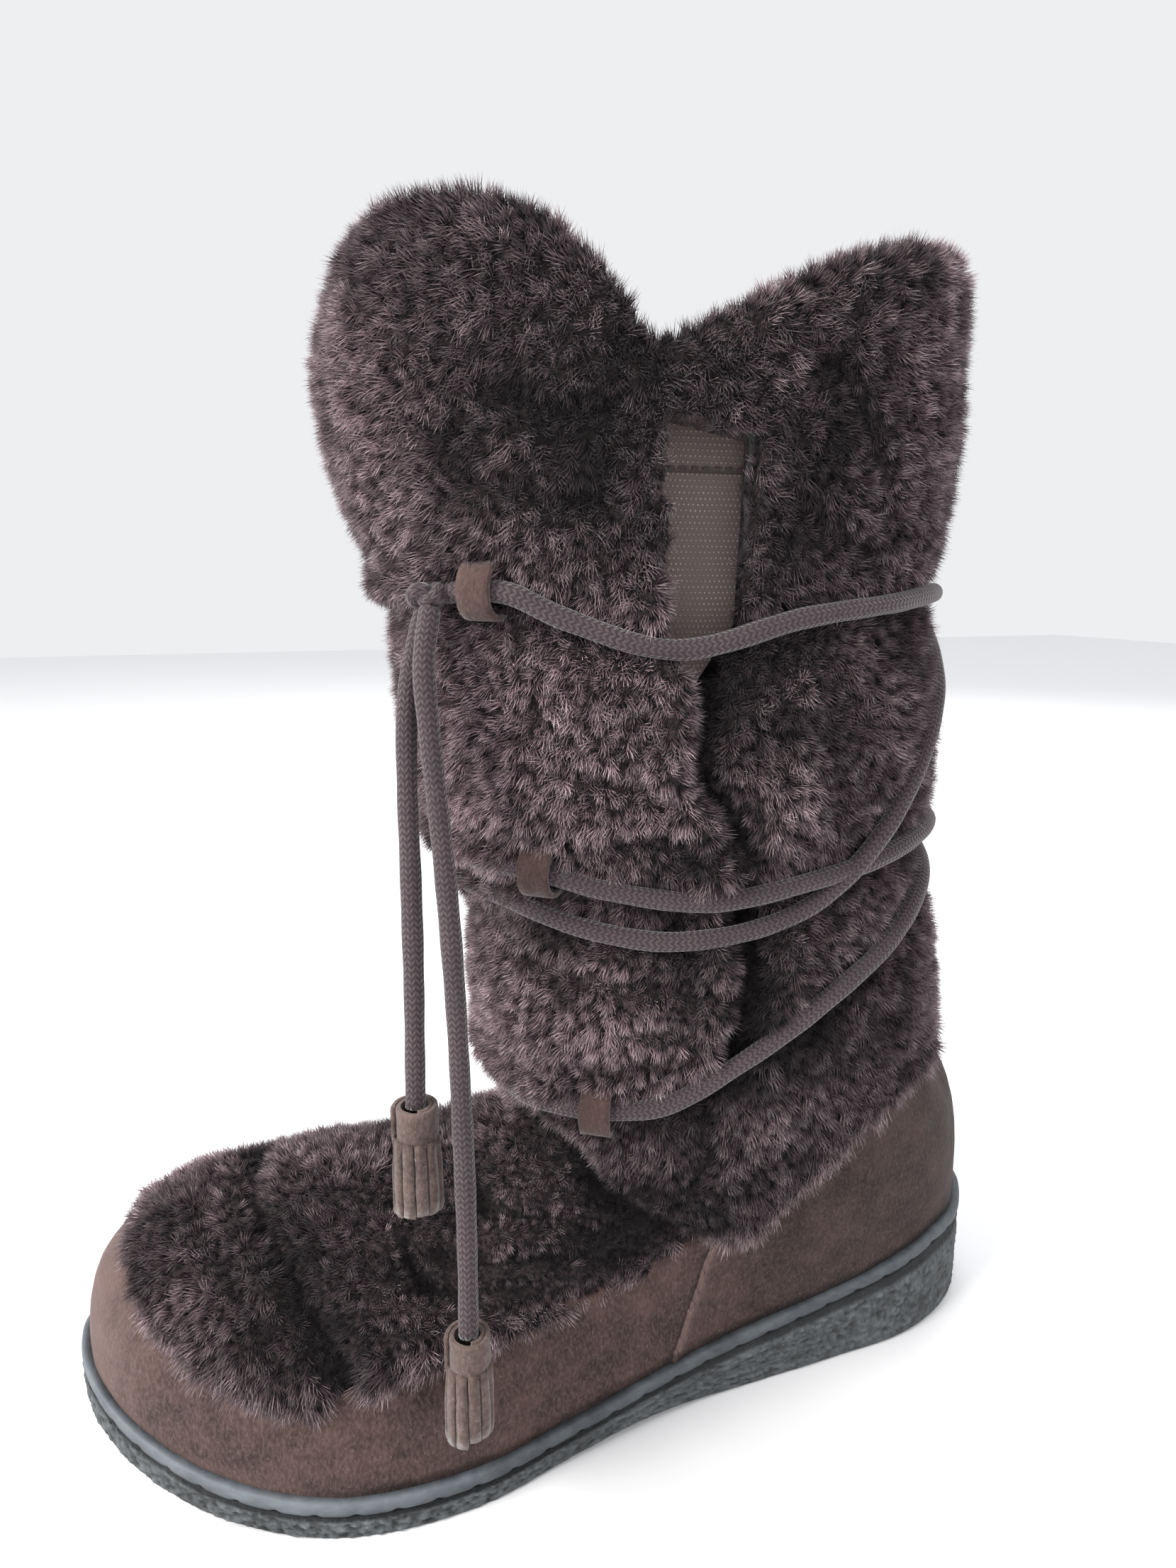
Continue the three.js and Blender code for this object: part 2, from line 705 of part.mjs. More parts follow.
// Suede strap bent over the lace, with both ends sewn to the hide
function loopStrap({ angle, z, height }) {
  const foot = 1 + GAP;
  const reach = loopReach(angle, z);
  const half = height / 2;
  const round = half - 1.5;
  const shape = new THREE.Shape();
  shape.moveTo(foot, -half);
  shape.lineTo(reach + LOOP_STRAP - 3.5, -half);
  shape.quadraticCurveTo(reach + LOOP_STRAP, -half, reach + LOOP_STRAP, -round + 2);
  shape.lineTo(reach + LOOP_STRAP, round - 2);
  shape.quadraticCurveTo(reach + LOOP_STRAP, half, reach + LOOP_STRAP - 3.5, half);
  shape.lineTo(foot, half);
  shape.lineTo(foot, half - LOOP_STRAP);
  shape.lineTo(reach - 2.6, half - LOOP_STRAP);
  shape.quadraticCurveTo(reach, half - LOOP_STRAP, reach, round - 2.6);
  shape.lineTo(reach, -round + 2.6);
  shape.quadraticCurveTo(reach, -half + LOOP_STRAP, reach - 2.6, -half + LOOP_STRAP);
  shape.lineTo(foot, -half + LOOP_STRAP);
  return extrudedBlock(shape, LOOP_WIDTH, loopBasis(angle, z));
}

function loopPocket({ angle, z, height }) {
  const half = height / 2 + 0.5;
  return extrudedBlock(rectangle(1, -half, 25, half), LOOP_WIDTH + 1, loopBasis(angle, z));
}

// Tube of the lace along a route
function laceTube(points, step, radius = LACE_RADIUS) {
  const curve = new THREE.CatmullRomCurve3(points, false, 'centripetal');
  const section = new THREE.Shape(Array.from({ length: LACE_SIDES }, (_, k) => {
    const angle = (TURN * (k + 0.5)) / LACE_SIDES;
    return new THREE.Vector2(radius * Math.cos(angle), radius * Math.sin(angle));
  }));
  const steps = Math.round(curve.getLength() / step);
  return new THREE.ExtrudeGeometry(section, { steps, bevelEnabled: false, extrudePath: curve });
}

function wrapTubes(radius) {
  return joined([LACE_OUTER_HALF, LACE_INNER_HALF].map((rows) => {
    const route = rows.map((row) => pilePoint(row.angle, row.z, LACE_RADIUS + LACE_LIFT));
    return solidFromGeometry(laceTube(route, LACE_STEP, radius));
  }));
}

// Turns a shape drawn as Y and Z into one that stands at an x
function sideView(x) {
  return new THREE.Matrix4()
    .makeBasis(new THREE.Vector3(0, 1, 0), UPWARD, new THREE.Vector3(1, 0, 0))
    .setPosition(x, 0, 0);
}

function gorePrism(grow) {
  const middle = new THREE.Vector2(15, 236);
  const shape = new THREE.Shape(GORE_OUTLINE.map(({ y, z }) => {
    const corner = new THREE.Vector2(y, z);
    return corner.addScaledVector(corner.clone().sub(middle).normalize(), grow);
  }));
  return extrudedBlock(shape, GORE_REACH, sideView(GORE_REACH));
}

// Seam between the toe foxing and the heel foxing, as the space behind it
function behindSeam(shift) {
  const shape = new THREE.Shape([
    new THREE.Vector2(14 + shift, 0),
    new THREE.Vector2(52 + shift, 100),
    new THREE.Vector2(180, 100),
    new THREE.Vector2(180, 0),
  ]);
  return extrudedBlock(shape, 2 * FLOOR_SPAN, sideView(0));
}

function treadGrooves() {
  const centres = [];
  for (let y = -88; y <= -22; y += TREAD_PITCH) centres.push(y);
  for (let y = 62; y <= 117; y += TREAD_PITCH) centres.push(y);
  return joined(centres.map((y) => {
    const block = new THREE.BoxGeometry(2 * FLOOR_SPAN, TREAD_WIDTH, 2 * TREAD_DEPTH);
    return solidFromGeometry(block.translate(0, y, soleBottom(y)));
  }));
}

function makeOutsole() {
  const ledge = (y) => soleTop(y) - WELT_HEIGHT - 2 * GAP;
  const between = (share) => (y) => THREE.MathUtils.lerp(soleBottom(y), ledge(y), share);
  const ribs = [0.4, 0.6, 0.8].map((share, i) => ({
    inset: RIB_DEPTH * (i % 2),
    height: between(share),
  }));
  const body = plate([
    { inset: 1, height: soleBottom },
    { inset: 0.2, height: between(0.14) },
    ...ribs,
    { inset: 0.5, height: ledge },
    { inset: WELT_LEDGE, height: ledge },
    { inset: WELT_LEDGE, height: soleTop },
  ]);
  return body.subtract(treadGrooves());
}

// Rim strip in the ledge around the outsole: its rings run around it and close on each other
function makeWelt() {
  const bottom = (y) => soleTop(y) - WELT_HEIGHT;
  const inner = WELT_LEDGE - 3 * GAP;
  const rings = [
    outlineRing(0.6, bottom),
    outlineRing(0, (y) => bottom(y) + 1),
    outlineRing(0.4, soleTop),
    outlineRing(inner, soleTop),
    outlineRing(inner, bottom),
  ];
  return solidOf(rings.flatMap((ring, j) => band(ring, rings[(j + 1) % rings.length])));
}

function makeInsole() {
  const inset = FOOT_INSET + WALL + 1;
  return plate([
    { inset, height: (y) => soleTop(y) + GAP },
    { inset, height: (y) => soleTop(y) + GAP + INSOLE_HEIGHT },
  ]);
}

const floorStations = Array.from({ length: 35 }, (_, i) => ({ y: -153 + 9 * i }));
const underUpper = curtain(floorStations, () => -60, (side, y) => soleTop(y) + GAP);
const hideShaft = shaftForm(SHAFT_HEIGHTS, SHAFT_STEPS, (degrees, z) => shaftPoint(degrees, z, 0));
const hideForm = footForm(0).add(hideShaft);
const liningShaft = shaftForm(LINING_HEIGHTS, LINING_STEPS, (degrees, z) => {
  return shaftPoint(degrees, z, -WALL);
});
const liningForm = footForm(-WALL, OUTLINE_STEPS, [0, 28, 52, 72, 90]).add(liningShaft);

function makeUpper() {
  const pile = footForm(VAMP_PILE)
    .add(shaftForm(PILE_HEIGHTS, SHAFT_STEPS, pilePoint))
    .subtract(underPileEdge(0));
  const tufted = joined([pile, ...shaftClumps(), ...vampClumps(), ...heelClumps()]);
  const hide = hideForm.intersect(underPileEdge(1));
  const openings = joined([liningForm, underUpper, overCollar(), gorePrism(0)]);
  const pressedIn = joined([wrapTubes(LACE_RADIUS + GAP), ...LOOPS.map(loopPocket)]);
  return joined([tufted, hide]).subtract(openings).subtract(pressedIn);
}

function makeFoxing() {
  const lowHeights = [5, 45, 65, 86, 104];
  const suedeForm = (offset) => footForm(offset).add(shaftForm(lowHeights, SHAFT_STEPS,
    (degrees, z) => shaftPoint(degrees, z, offset)));
  return suedeForm(SUEDE + GAP)
    .subtract(suedeForm(GAP))
    .intersect(underPileEdge(-GAP))
    .subtract(underUpper);
}

function makeGore() {
  const around = (offset) => shaftForm(LINING_HEIGHTS.slice(6), LINING_STEPS * 2, (degrees, z) => {
    return shaftPoint(degrees, z, offset);
  });
  return around(-0.4).subtract(around(-WALL)).intersect(gorePrism(-2 * GAP));
}

// Rolled suede collar with strips cut in its lower part
function makeTassel() {
  const collar = new THREE.LatheGeometry([
    new THREE.Vector2(0, 0),
    new THREE.Vector2(TASSEL_RADIUS - 0.6, 0),
    new THREE.Vector2(TASSEL_RADIUS, -0.8),
    new THREE.Vector2(TASSEL_RADIUS, -TASSEL_COLLAR),
    new THREE.Vector2(0, -TASSEL_COLLAR),
  ], 10).rotateX(Math.PI / 2);
  const strips = Array.from({ length: TASSEL_STRIPS }, (_, k) => {
    const length = TASSEL_FRINGE + uneven(k + 3);
    const strip = new THREE.Shape([
      new THREE.Vector2(-2, -TASSEL_COLLAR + 2),
      new THREE.Vector2(2, -TASSEL_COLLAR + 2),
      new THREE.Vector2(2.5, -TASSEL_COLLAR - length),
      new THREE.Vector2(-2.5, -TASSEL_COLLAR - length),
    ]);
    const geometry = new THREE.ExtrudeGeometry(strip, { depth: 1.3, bevelEnabled: false });
    geometry.rotateX(Math.PI / 2).translate(0, -TASSEL_RADIUS + 1.2, 0);
    geometry.rotateX(-0.03).rotateZ((TURN * k) / TASSEL_STRIPS);
    return solidFromGeometry(geometry);
  });
  return joined([solidFromGeometry(collar), ...strips]);
}

// Half knot that the two hanging ends leave
function makeKnot(grow) {
  const ball = new THREE.SphereGeometry(KNOT_RADIUS + grow, 10, 7);
  const { x, y, z } = pilePoint(KNOT_PLACE.angle, KNOT_PLACE.z, KNOT_RADIUS + 1);
  return solidFromGeometry(ball.scale(1, 1, 0.85).translate(x, y, z));
}

const materials = {
  pile: { color: 0x4a3e3e, roughness: 0.95, metalness: 0 },
  suede: { color: 0x5c4a40, roughness: 0.9, metalness: 0 },
  loop: { color: 0x6e5a50, roughness: 0.9, metalness: 0 },
  lace: { color: 0x736766, roughness: 0.9, metalness: 0 },
  tassel: { color: 0x8c766c, roughness: 0.9, metalness: 0 },
  elastic: { color: 0x5a524c, roughness: 0.85, metalness: 0 },
  rubber: { color: 0x4b5054, roughness: 0.7, metalness: 0 },
  insole: { color: 0x3c3230, roughness: 0.95, metalness: 0 },
};

const boot = new THREE.Group();

function addPiece(name, geometry, finish, place = new THREE.Vector3()) {
  const piece = new THREE.Mesh(geometry, new THREE.MeshStandardMaterial(materials[finish]));
  piece.name = name;
  piece.position.copy(place);
  boot.add(piece);
}

addPiece('outsole', geometryOf(makeOutsole()), 'rubber');
addPiece('welt', geometryOf(makeWelt()), 'rubber');
addPiece('insole', geometryOf(makeInsole()), 'insole');
addPiece('upper', geometryOf(makeUpper()), 'pile');
const foxing = makeFoxing();
addPiece('toe_foxing', geometryOf(foxing.subtract(behindSeam(0))), 'suede');
addPiece('heel_foxing', geometryOf(foxing.intersect(behindSeam(GAP))), 'suede');
addPiece('gore', geometryOf(makeGore()), 'elastic');
LOOPS.forEach((loop) => addPiece(loop.name, geometryOf(loopStrap(loop)), 'loop'));

const knotRoom = makeKnot(GAP);
addPiece('lace_wraps', geometryOf(wrapTubes(LACE_RADIUS).subtract(knotRoom)), 'lace');
addPiece('lace_knot', geometryOf(makeKnot(0)), 'lace');

const ends = { short: LACE_END_SHORT, long: LACE_END_LONG };
Object.entries(ends).forEach(([name, rows]) => {
  const route = rows.map((row) => new THREE.Vector3(...row));
  const end = solidFromGeometry(laceTube(route, LACE_END_STEP)).subtract(knotRoom);
  addPiece(`lace_end_${name}`, geometryOf(end), 'lace');
  const place = route.at(-1).clone().add(new THREE.Vector3(0, 0, -2 * GAP));
  addPiece(`tassel_${name}`, geometryOf(makeTassel()), 'tassel', place);
});

export default boot;
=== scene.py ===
"""Looks of a left winter boot: pile shaft and vamp, suede lower, wedge sole, lace and tassels."""

import logging
import math
from dataclasses import dataclass
from enum import Enum
from typing import Any, Callable, Iterable, NamedTuple, Sequence

import bmesh
import bpy
import numpy as np
from mathutils import Matrix, Vector, kdtree, noise


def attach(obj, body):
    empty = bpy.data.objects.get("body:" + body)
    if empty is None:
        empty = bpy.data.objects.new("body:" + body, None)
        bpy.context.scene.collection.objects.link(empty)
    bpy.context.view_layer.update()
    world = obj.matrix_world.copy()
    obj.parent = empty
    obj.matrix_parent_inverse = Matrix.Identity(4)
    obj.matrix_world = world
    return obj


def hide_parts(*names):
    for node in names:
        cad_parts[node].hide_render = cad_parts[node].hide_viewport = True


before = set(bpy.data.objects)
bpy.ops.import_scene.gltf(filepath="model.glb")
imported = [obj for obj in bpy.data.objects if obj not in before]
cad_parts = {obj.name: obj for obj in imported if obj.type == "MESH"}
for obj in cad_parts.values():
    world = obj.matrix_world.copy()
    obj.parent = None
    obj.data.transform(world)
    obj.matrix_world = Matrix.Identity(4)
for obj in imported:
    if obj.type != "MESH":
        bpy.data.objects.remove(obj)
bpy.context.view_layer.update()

MM = 0.001
BODY = "root"
LOG = logging.getLogger("boot")
Points = np.ndarray
Faces = list[tuple[int, ...]]


class SoleRow(NamedTuple):
    """Station of the foot: share of the length from the heel, edges, and the last over it."""

    along: float
    outer: float
    inner: float
    rise: float
    ridge: float


class ShaftRow(NamedTuple):
    """Section of the shaft of the last."""

    z: float
    front: float
    back: float
    outer: float
    inner: float


class EdgeRow(NamedTuple):
    """Height of a line around the boot at one y, on the outer and the inner side."""

    y: float
    outer: float
    inner: float


SOLE_ROWS = (
    SoleRow(0, 0, 0, 0, 0),
    SoleRow(0.02, 14, -14, 36, 0),
    SoleRow(0.06, 25, -25, 50, 0),
    SoleRow(0.14, 34, -33, 60, 0),
    SoleRow(0.25, 36, -34, 68, 0),
    SoleRow(0.40, 38, -30, 73, 0),
    SoleRow(0.54, 44.5, -34, 65, -1),
    SoleRow(0.65, 50.5, -42.8, 57.5, -3),
    SoleRow(0.75, 49, -49.5, 55, -6),
    SoleRow(0.85, 38, -48.5, 49.5, -10),
    SoleRow(0.935, 19.5, -42.5, 37, -15),
    SoleRow(0.985, -0.7, -31.7, 19, -18),
    SoleRow(1, -19, -19, 0, -19),
)

SHAFT_ROWS = (
    ShaftRow(5, 0, 124, 30, -27),
    ShaftRow(45, -6, 128, 34, -31),
    ShaftRow(65, -10, 124, 36, -34),
    ShaftRow(86, -13, 113, 38.5, -37),
    ShaftRow(104, -17, 107, 40, -39),
    ShaftRow(122, -18, 103, 42, -41),
    ShaftRow(140, -19, 100, 43.5, -43),
    ShaftRow(155, -25, 98, 45, -44.5),
    ShaftRow(174, -32, 96.5, 47, -46.5),
    ShaftRow(201, -36, 95, 49, -48.5),
    ShaftRow(226, -40, 93.5, 50.5, -50),
    ShaftRow(250, -48, 94, 52.5, -52),
    ShaftRow(270, -52, 95, 53.5, -53),
    ShaftRow(290, -50, 95, 53.5, -53),
    ShaftRow(318, -40, 95, 53, -52.5),
)

PILE_SWELL = (
    (5, 0), (86, -0.5), (104, 1), (126, 2), (150, -1), (168, 1), (192, 2), (222, -0.5),
    (246, 1.5), (275, 2), (318, 1),
)

PILE_EDGE = (
    EdgeRow(-155, 100, 100),
    EdgeRow(-130, 78, 78),
    EdgeRow(-121, 54, 56),
    EdgeRow(-112, 45, 49),
    EdgeRow(-104, 41, 44),
    EdgeRow(-92, 36, 37),
    EdgeRow(-79, 33.5, 34),
    EdgeRow(-62, 37, 35),
    EdgeRow(-40, 41, 39),
    EdgeRow(0, 43, 46),
    EdgeRow(30, 49, 55),
    EdgeRow(46, 54, 71),
    EdgeRow(58, 66, 82),
    EdgeRow(75, 81, 88),
    EdgeRow(100, 90, 92),
    EdgeRow(155, 96, 96),
)

COLLAR = (
    EdgeRow(-80, 304, 304),
    EdgeRow(-40, 306, 306),
    EdgeRow(-20, 299, 304),
    EdgeRow(-8, 288, 302),
    EdgeRow(1, 277, 300),
    EdgeRow(9, 279, 298),
    EdgeRow(22, 285, 298),
    EdgeRow(42, 294, 300),
    EdgeRow(70, 302, 304),
    EdgeRow(120, 306, 306),
)

# Routes of the two halves of the lace, as angle around the shaft and height
LACE_OUTER_HALF = (
    (-45, 95), (-26, 98), (-8, 110), (5, 123), (30, 138), (60, 150), (90, 156), (120, 156),
    (150, 153), (180, 149), (210, 147), (240, 148), (270, 150), (297, 152), (318, 147),
    (341, 144), (366, 150), (390, 172), (420, 203), (450, 228), (480, 232), (510, 230),
    (540, 228), (570, 227), (600, 227), (630, 227), (656, 226.5),
)
LACE_INNER_HALF = (
    (-45, 95), (-66, 95), (-90, 97), (-120, 101), (-150, 108), (-180, 118), (-210, 132),
    (-240, 146), (-270, 161), (-300, 164), (-330, 161), (-353, 157), (-371, 154), (-393, 158),
    (-408, 162), (-424, 162), (-450, 163), (-480, 166), (-510, 173), (-540, 185), (-570, 200),
    (-600, 213), (-630, 222.5), (-660, 226), (-690, 224), (-713, 221), (-733, 214.5),
    (-752, 221), (-763, 226.5), (-770, 227), (-779, 226.5),
)
# Centre lines of the hanging ends of the lace, in metres
END_SHORT = (
    (0.0305, -0.0416, 0.224), (0.0340, -0.0452, 0.213), (0.0370, -0.0476, 0.202),
    (0.0395, -0.0486, 0.186), (0.0410, -0.0488, 0.165), (0.0425, -0.0492, 0.140),
    (0.0440, -0.0498, 0.122), (0.0450, -0.0502, 0.1105),
)
END_LONG = (
    (0.0360, -0.0418, 0.223), (0.0406, -0.0442, 0.212), (0.0430, -0.0441, 0.200),
    (0.0442, -0.0432, 0.186), (0.0456, -0.0418, 0.165), (0.0474, -0.0408, 0.140),
    (0.0496, -0.0404, 0.112), (0.0522, -0.0405, 0.088), (0.0548, -0.0410, 0.070),
    (0.0564, -0.0415, 0.0565),
)
LACE_RADIUS = 2.4
LACE_LIFT = 0.7
# noise_vector is seeded by the clock unless it is given a seed
NOISE_SEED = 11
GORE_HEM = 252.5
SHEEN_ROUGHNESS = 0.4
SPECULAR = 0.3
BUMP_STRENGTH = 0.8
BUMP_DEPTH = 0.4


def curve_through(xs: Sequence[float], ys: Sequence[float]) -> Callable[[Any], Points]:
    """Smooth curve through points, flat outside their range.

    Args:
        xs: Rising places.
        ys: Value at each place.

    Returns:
        A function of one place or of an array of them.
    """
    places, values = np.asarray(xs, float), np.asarray(ys, float)
    slopes = np.diff(values) / np.diff(places)
    tangents = np.concatenate([slopes[:1], (slopes[:-1] + slopes[1:]) / 2, slopes[-1:]])

    def at(x: Any) -> Points:
        """Value of the curve at x."""
        x = np.clip(np.asarray(x, float), places[0], places[-1])
        i = np.clip(np.searchsorted(places, x, side="left") - 1, 0, len(places) - 2)
        step = places[i + 1] - places[i]
        t = (x - places[i]) / step
        start = (1 + 2 * t) * (1 - t) ** 2 * values[i] + t * (1 - t) ** 2 * step * tangents[i]
        end = t * t * (3 - 2 * t) * values[i + 1] + t * t * (t - 1) * step * tangents[i + 1]
        return start + end

    return at


def smooth_step(low: float, high: float, x: Points) -> Points:
    """Rises smoothly from 0 at low to 1 at high."""
    t = np.clip((x - low) / (high - low), 0, 1)
    return t * t * (3 - 2 * t)


def side_line(rows: Sequence[EdgeRow]) -> Callable[[Points, Points], Points]:
    """Height of a line around the boot as a function of x and y."""
    ys = [row.y for row in rows]
    outer = curve_through(ys, [row.outer for row in rows])
    inner = curve_through(ys, [row.inner for row in rows])

    def at(x: Points, y: Points) -> Points:
        """Height of the line at the side that x is on."""
        middle = -10 * smooth_step(-20, -90, np.asarray(y, float))
        share = smooth_step(-8, 8, np.asarray(x, float) - middle)
        return inner(y) + (outer(y) - inner(y)) * share

    return at


def smooth_noise(points: Points, size: float, seed: float = 0.0) -> Points:
    """Soft noise between about -1 and 1 at points in millimetres, with lumps of that size."""
    shift = Vector((seed * 7.3, seed * 3.1, seed * 5.7))
    return np.array([noise.noise(Vector(p) / size + shift) for p in points])


def noise_vectors(points: Points, size: float, shift: Sequence[float] = (0, 0, 0)) -> Points:
    """Smooth random direction at each point."""
    return np.array([noise.noise_vector(Vector(p) / size + Vector(shift)) for p in points])


@dataclass(frozen=True)
class Last:
    """Form that the boot is built on, in millimetres."""

    length: float = 275
    side_height: float = 10
    heel_raise: float = 21.5
    heel_flat_end: float = 0.10
    wedge_end: float = 0.62
    toe_spring: float = 10.5
    toe_rise: float = 13
    spring_start: float = 0.752
    arch_lift: float = 2
    arch_start: float = 0.33
    arch_end: float = 0.62
    foot_inset: float = 5
    foot_roundness: float = 2.4
    shaft_roundness: float = 2.3
    pile: float = 7
    vamp_pile: float = 6
    press_depth: float = 3
    press_reach: float = 9

    def along(self, y: Any) -> Points:
        """Share of the length from the heel."""
        return 0.5 - np.asarray(y, float) / self.length

    def sole_bottom(self, y: Any) -> Points:
        """Height of the tread."""
        along = self.along(y)
        spring = np.clip((along - self.spring_start) / (1 - self.spring_start), 0, 1)
        arch = np.clip((along - self.arch_start) / (self.arch_end - self.arch_start), 0, 1)
        return self.toe_spring * spring**2 + self.arch_lift * np.sin(np.pi * arch) ** 2

    def sole_top(self, y: Any) -> Points:
        """Height of the top of the sole."""
        along = self.along(y)
        spring = np.maximum((along - self.spring_start) / (1 - self.spring_start), 0)
        wedge = (along - self.heel_flat_end) / (self.wedge_end - self.heel_flat_end)
        wedge = self.heel_raise * (1 - np.clip(wedge, 0, 1)) ** 1.5
        return self.side_height + self.toe_rise * spring**2 + wedge

    def row_curve(self, column: str) -> Callable[[Any], Points]:
        """Curve of one column of the sole rows over the station."""
        stations = [math.acos(1 - 2 * row.along) / math.pi for row in SOLE_ROWS]
        return curve_through(stations, [getattr(row, column) for row in SOLE_ROWS])

    def outline(self, turn: Points) -> Points:
        """Edge of the sole: turn runs 0 to 1 along the outer side and 1 to 2 back."""
        folded = np.mod(turn, 2)
        station = np.where(folded <= 1, folded, 2 - folded)
        x = np.where(folded <= 1, self.row_curve("outer")(station), self.row_curve("inner")(station))
        return np.stack([x, self.length / 2 * np.cos(np.pi * station)], -1)

    def inset(self, turn: Points, inset: Any) -> Points:
        """Edge of the sole moved inwards."""
        turn = np.asarray(turn, float)
        along = self.outline(turn + 0.02) - self.outline(turn - 0.02)
        along /= np.linalg.norm(along, axis=-1, keepdims=True)
        inward = np.stack([along[..., 1], -along[..., 0]], -1)
        return self.outline(turn) + inward * np.asarray(inset, float)[..., None]

    def foot_point(self, turn: Points, level: float, offset: float) -> Points:
        """Points of the foot form at one level, from 0 at the edge to a right angle on top."""
        edge = self.inset(turn, self.foot_inset - offset)
        partner = self.inset(2 - turn, self.foot_inset - offset)
        folded = np.mod(turn, 2)
        station = np.where(folded <= 1, folded, 2 - folded)
        reach = max(math.cos(level), 0) ** (2 / self.foot_roundness)
        lift = math.sin(level) ** (2 / self.foot_roundness)
        ridge = self.row_curve("ridge")(station)
        middle = (edge[:, 1] + partner[:, 1]) / 2
        x = ridge + (edge[:, 0] - ridge) * reach
        y = middle + (edge[:, 1] - middle) * reach
        z = self.sole_top(y) + (self.row_curve("rise")(station) + offset) * lift
        return np.stack([x, y, z], -1)

    def shaft_point(self, degrees: Any, z: Any, offset: Any) -> Points:
        """Points of the shaft form: 0 degrees is the outer side and 90 the back."""
        angle = np.radians(np.asarray(degrees, float))
        z = np.asarray(z, float) + 0 * angle
        heights = [row.z for row in SHAFT_ROWS]
        front, back, outer, inner = (
            curve_through(heights, [getattr(row, side) for row in SHAFT_ROWS])(z)
            for side in ("front", "back", "outer", "inner")
        )
        power = 2 / self.shaft_roundness
        across = np.sign(np.cos(angle)) * np.abs(np.cos(angle)) ** power
        along = np.sign(np.sin(angle)) * np.abs(np.sin(angle)) ** power
        x = (outer + inner) / 2 + ((outer - inner) / 2 + offset) * across
        y = (front + back) / 2 + ((back - front) / 2 + offset) * along
        return np.stack([x, y, z], -1)

    def swell(self, z: Any) -> Points:
        """How far the pile swells between the lace levels."""
        return curve_through(*zip(*PILE_SWELL))(z)

    def hide_route(self) -> Points:
        """Places where the lace presses on the hide."""
        found = []
        for rows in (LACE_OUTER_HALF, LACE_INNER_HALF):
            degrees, heights = (np.array(column, float) for column in zip(*rows))
            steps = np.arange(0, len(rows) - 0.95, 0.05)
            index = np.arange(len(rows))
            found.append(self.shaft_point(np.interp(steps, index, degrees),
                                          np.interp(steps, index, heights), 0))
        return np.concatenate(found)

    def lace_offset(self, points: Points) -> tuple[Points, Points]:
        """Distance of points near the shaft from the hide under the lace, and height over it."""
        route = self.hide_route()
        tree = kdtree.KDTree(len(route))
        for i, place in enumerate(route):
            tree.insert(place, i)
        tree.balance()
        found = [tree.find(p) for p in points]
        away = np.array([distance for _, _, distance in found])
        return away, points[:, 2] - np.array([place[2] for place, _, _ in found])

    def pile_depth(self, degrees: Points, z: float) -> Points:
        """Depth of the pile on the shaft."""
        near, _ = self.lace_offset(self.shaft_point(degrees, z, 0))
        press = self.press_depth * np.exp(-((near / self.press_reach) ** 2))
        return self.pile + self.swell(z) - press

    def lace_route(self, rows: Sequence[tuple[float, float]]) -> Points:
        """Centre line points of the lace over the pressed pile."""
        degrees, heights = (np.array(column, float) for column in zip(*rows))
        lift = self.pile + self.swell(heights) - self.press_depth + LACE_RADIUS + LACE_LIFT
        return self.shaft_point(degrees, heights, lift)


LAST = Last()
PILE_LINE = side_line(PILE_EDGE)
COLLAR_LINE = side_line(COLLAR)


def drop(thing: bpy.types.Object) -> None:
    """Deletes a scratch object with its mesh."""
    mesh = thing.data
    bpy.data.objects.remove(thing)
    bpy.data.meshes.remove(mesh)


def mesh_object(name: str, points: Points, faces: Faces, smooth: bool = True) -> bpy.types.Object:
    """Object at the origin from points in millimetres.

    Args:
        name: Name of the object and its mesh.
        points: Corner points in millimetres.
        faces: Corner numbers of each face.
        smooth: Whether the faces are shaded smooth.

    Returns:
        The linked object.
    """
    mesh = bpy.data.meshes.new(name)
    mesh.from_pydata((np.asarray(points, float) * MM).tolist(), [], [list(map(int, f)) for f in faces])
    mesh.validate()
    mesh.polygons.foreach_set("use_smooth", [smooth] * len(mesh.polygons))
    thing = bpy.data.objects.new(name, mesh)
    bpy.context.scene.collection.objects.link(thing)
    return thing


def arrays_of(thing: bpy.types.Object) -> tuple[Points, Faces]:
    """Points in millimetres and faces of a mesh object."""
    mesh = thing.data
    points = np.zeros(len(mesh.vertices) * 3)
    mesh.vertices.foreach_get("co", points)
    return points.reshape(-1, 3) / MM, [tuple(face.vertices) for face in mesh.polygons]


def baked(thing: bpy.types.Object, name: str) -> bpy.types.Object:
    """Plain mesh object of what an object's modifiers make; the first object is deleted."""
    graph = bpy.context.evaluated_depsgraph_get()
    graph.update()
    mesh = bpy.data.meshes.new_from_object(thing.evaluated_get(graph))
    made = bpy.data.objects.new(name, mesh)
    bpy.context.scene.collection.objects.link(made)
    drop(thing)
    made.name = name
    return made


def set_values(thing: bpy.types.Object, name: str, values: Iterable[float]) -> None:
    """Stores one number for each vertex under a name."""
    layer = thing.data.attributes.new(name, "FLOAT", "POINT")
    layer.data.foreach_set("value", np.asarray(values, np.float32))


def set_vectors(thing: bpy.types.Object, name: str, values: Points) -> None:
    """Stores one vector for each vertex under a name."""
    layer = thing.data.attributes.new(name, "FLOAT_VECTOR", "POINT")
    layer.data.foreach_set("vector", np.asarray(values, np.float32).ravel())


def ring_faces(rings: int, count: int, closed: bool = True) -> Faces:
    """Quads between rings of points that follow each other.

    Args:
        rings: Number of rings.
        count: Number of points in each ring.
        closed: Whether each ring closes on itself.

    Returns:
        The faces.
    """
    last = count if closed else count - 1
    return [
        (r * count + k, r * count + (k + 1) % count, (r + 1) * count + (k + 1) % count,
         (r + 1) * count + k)
        for r in range(rings - 1)
        for k in range(last)
    ]


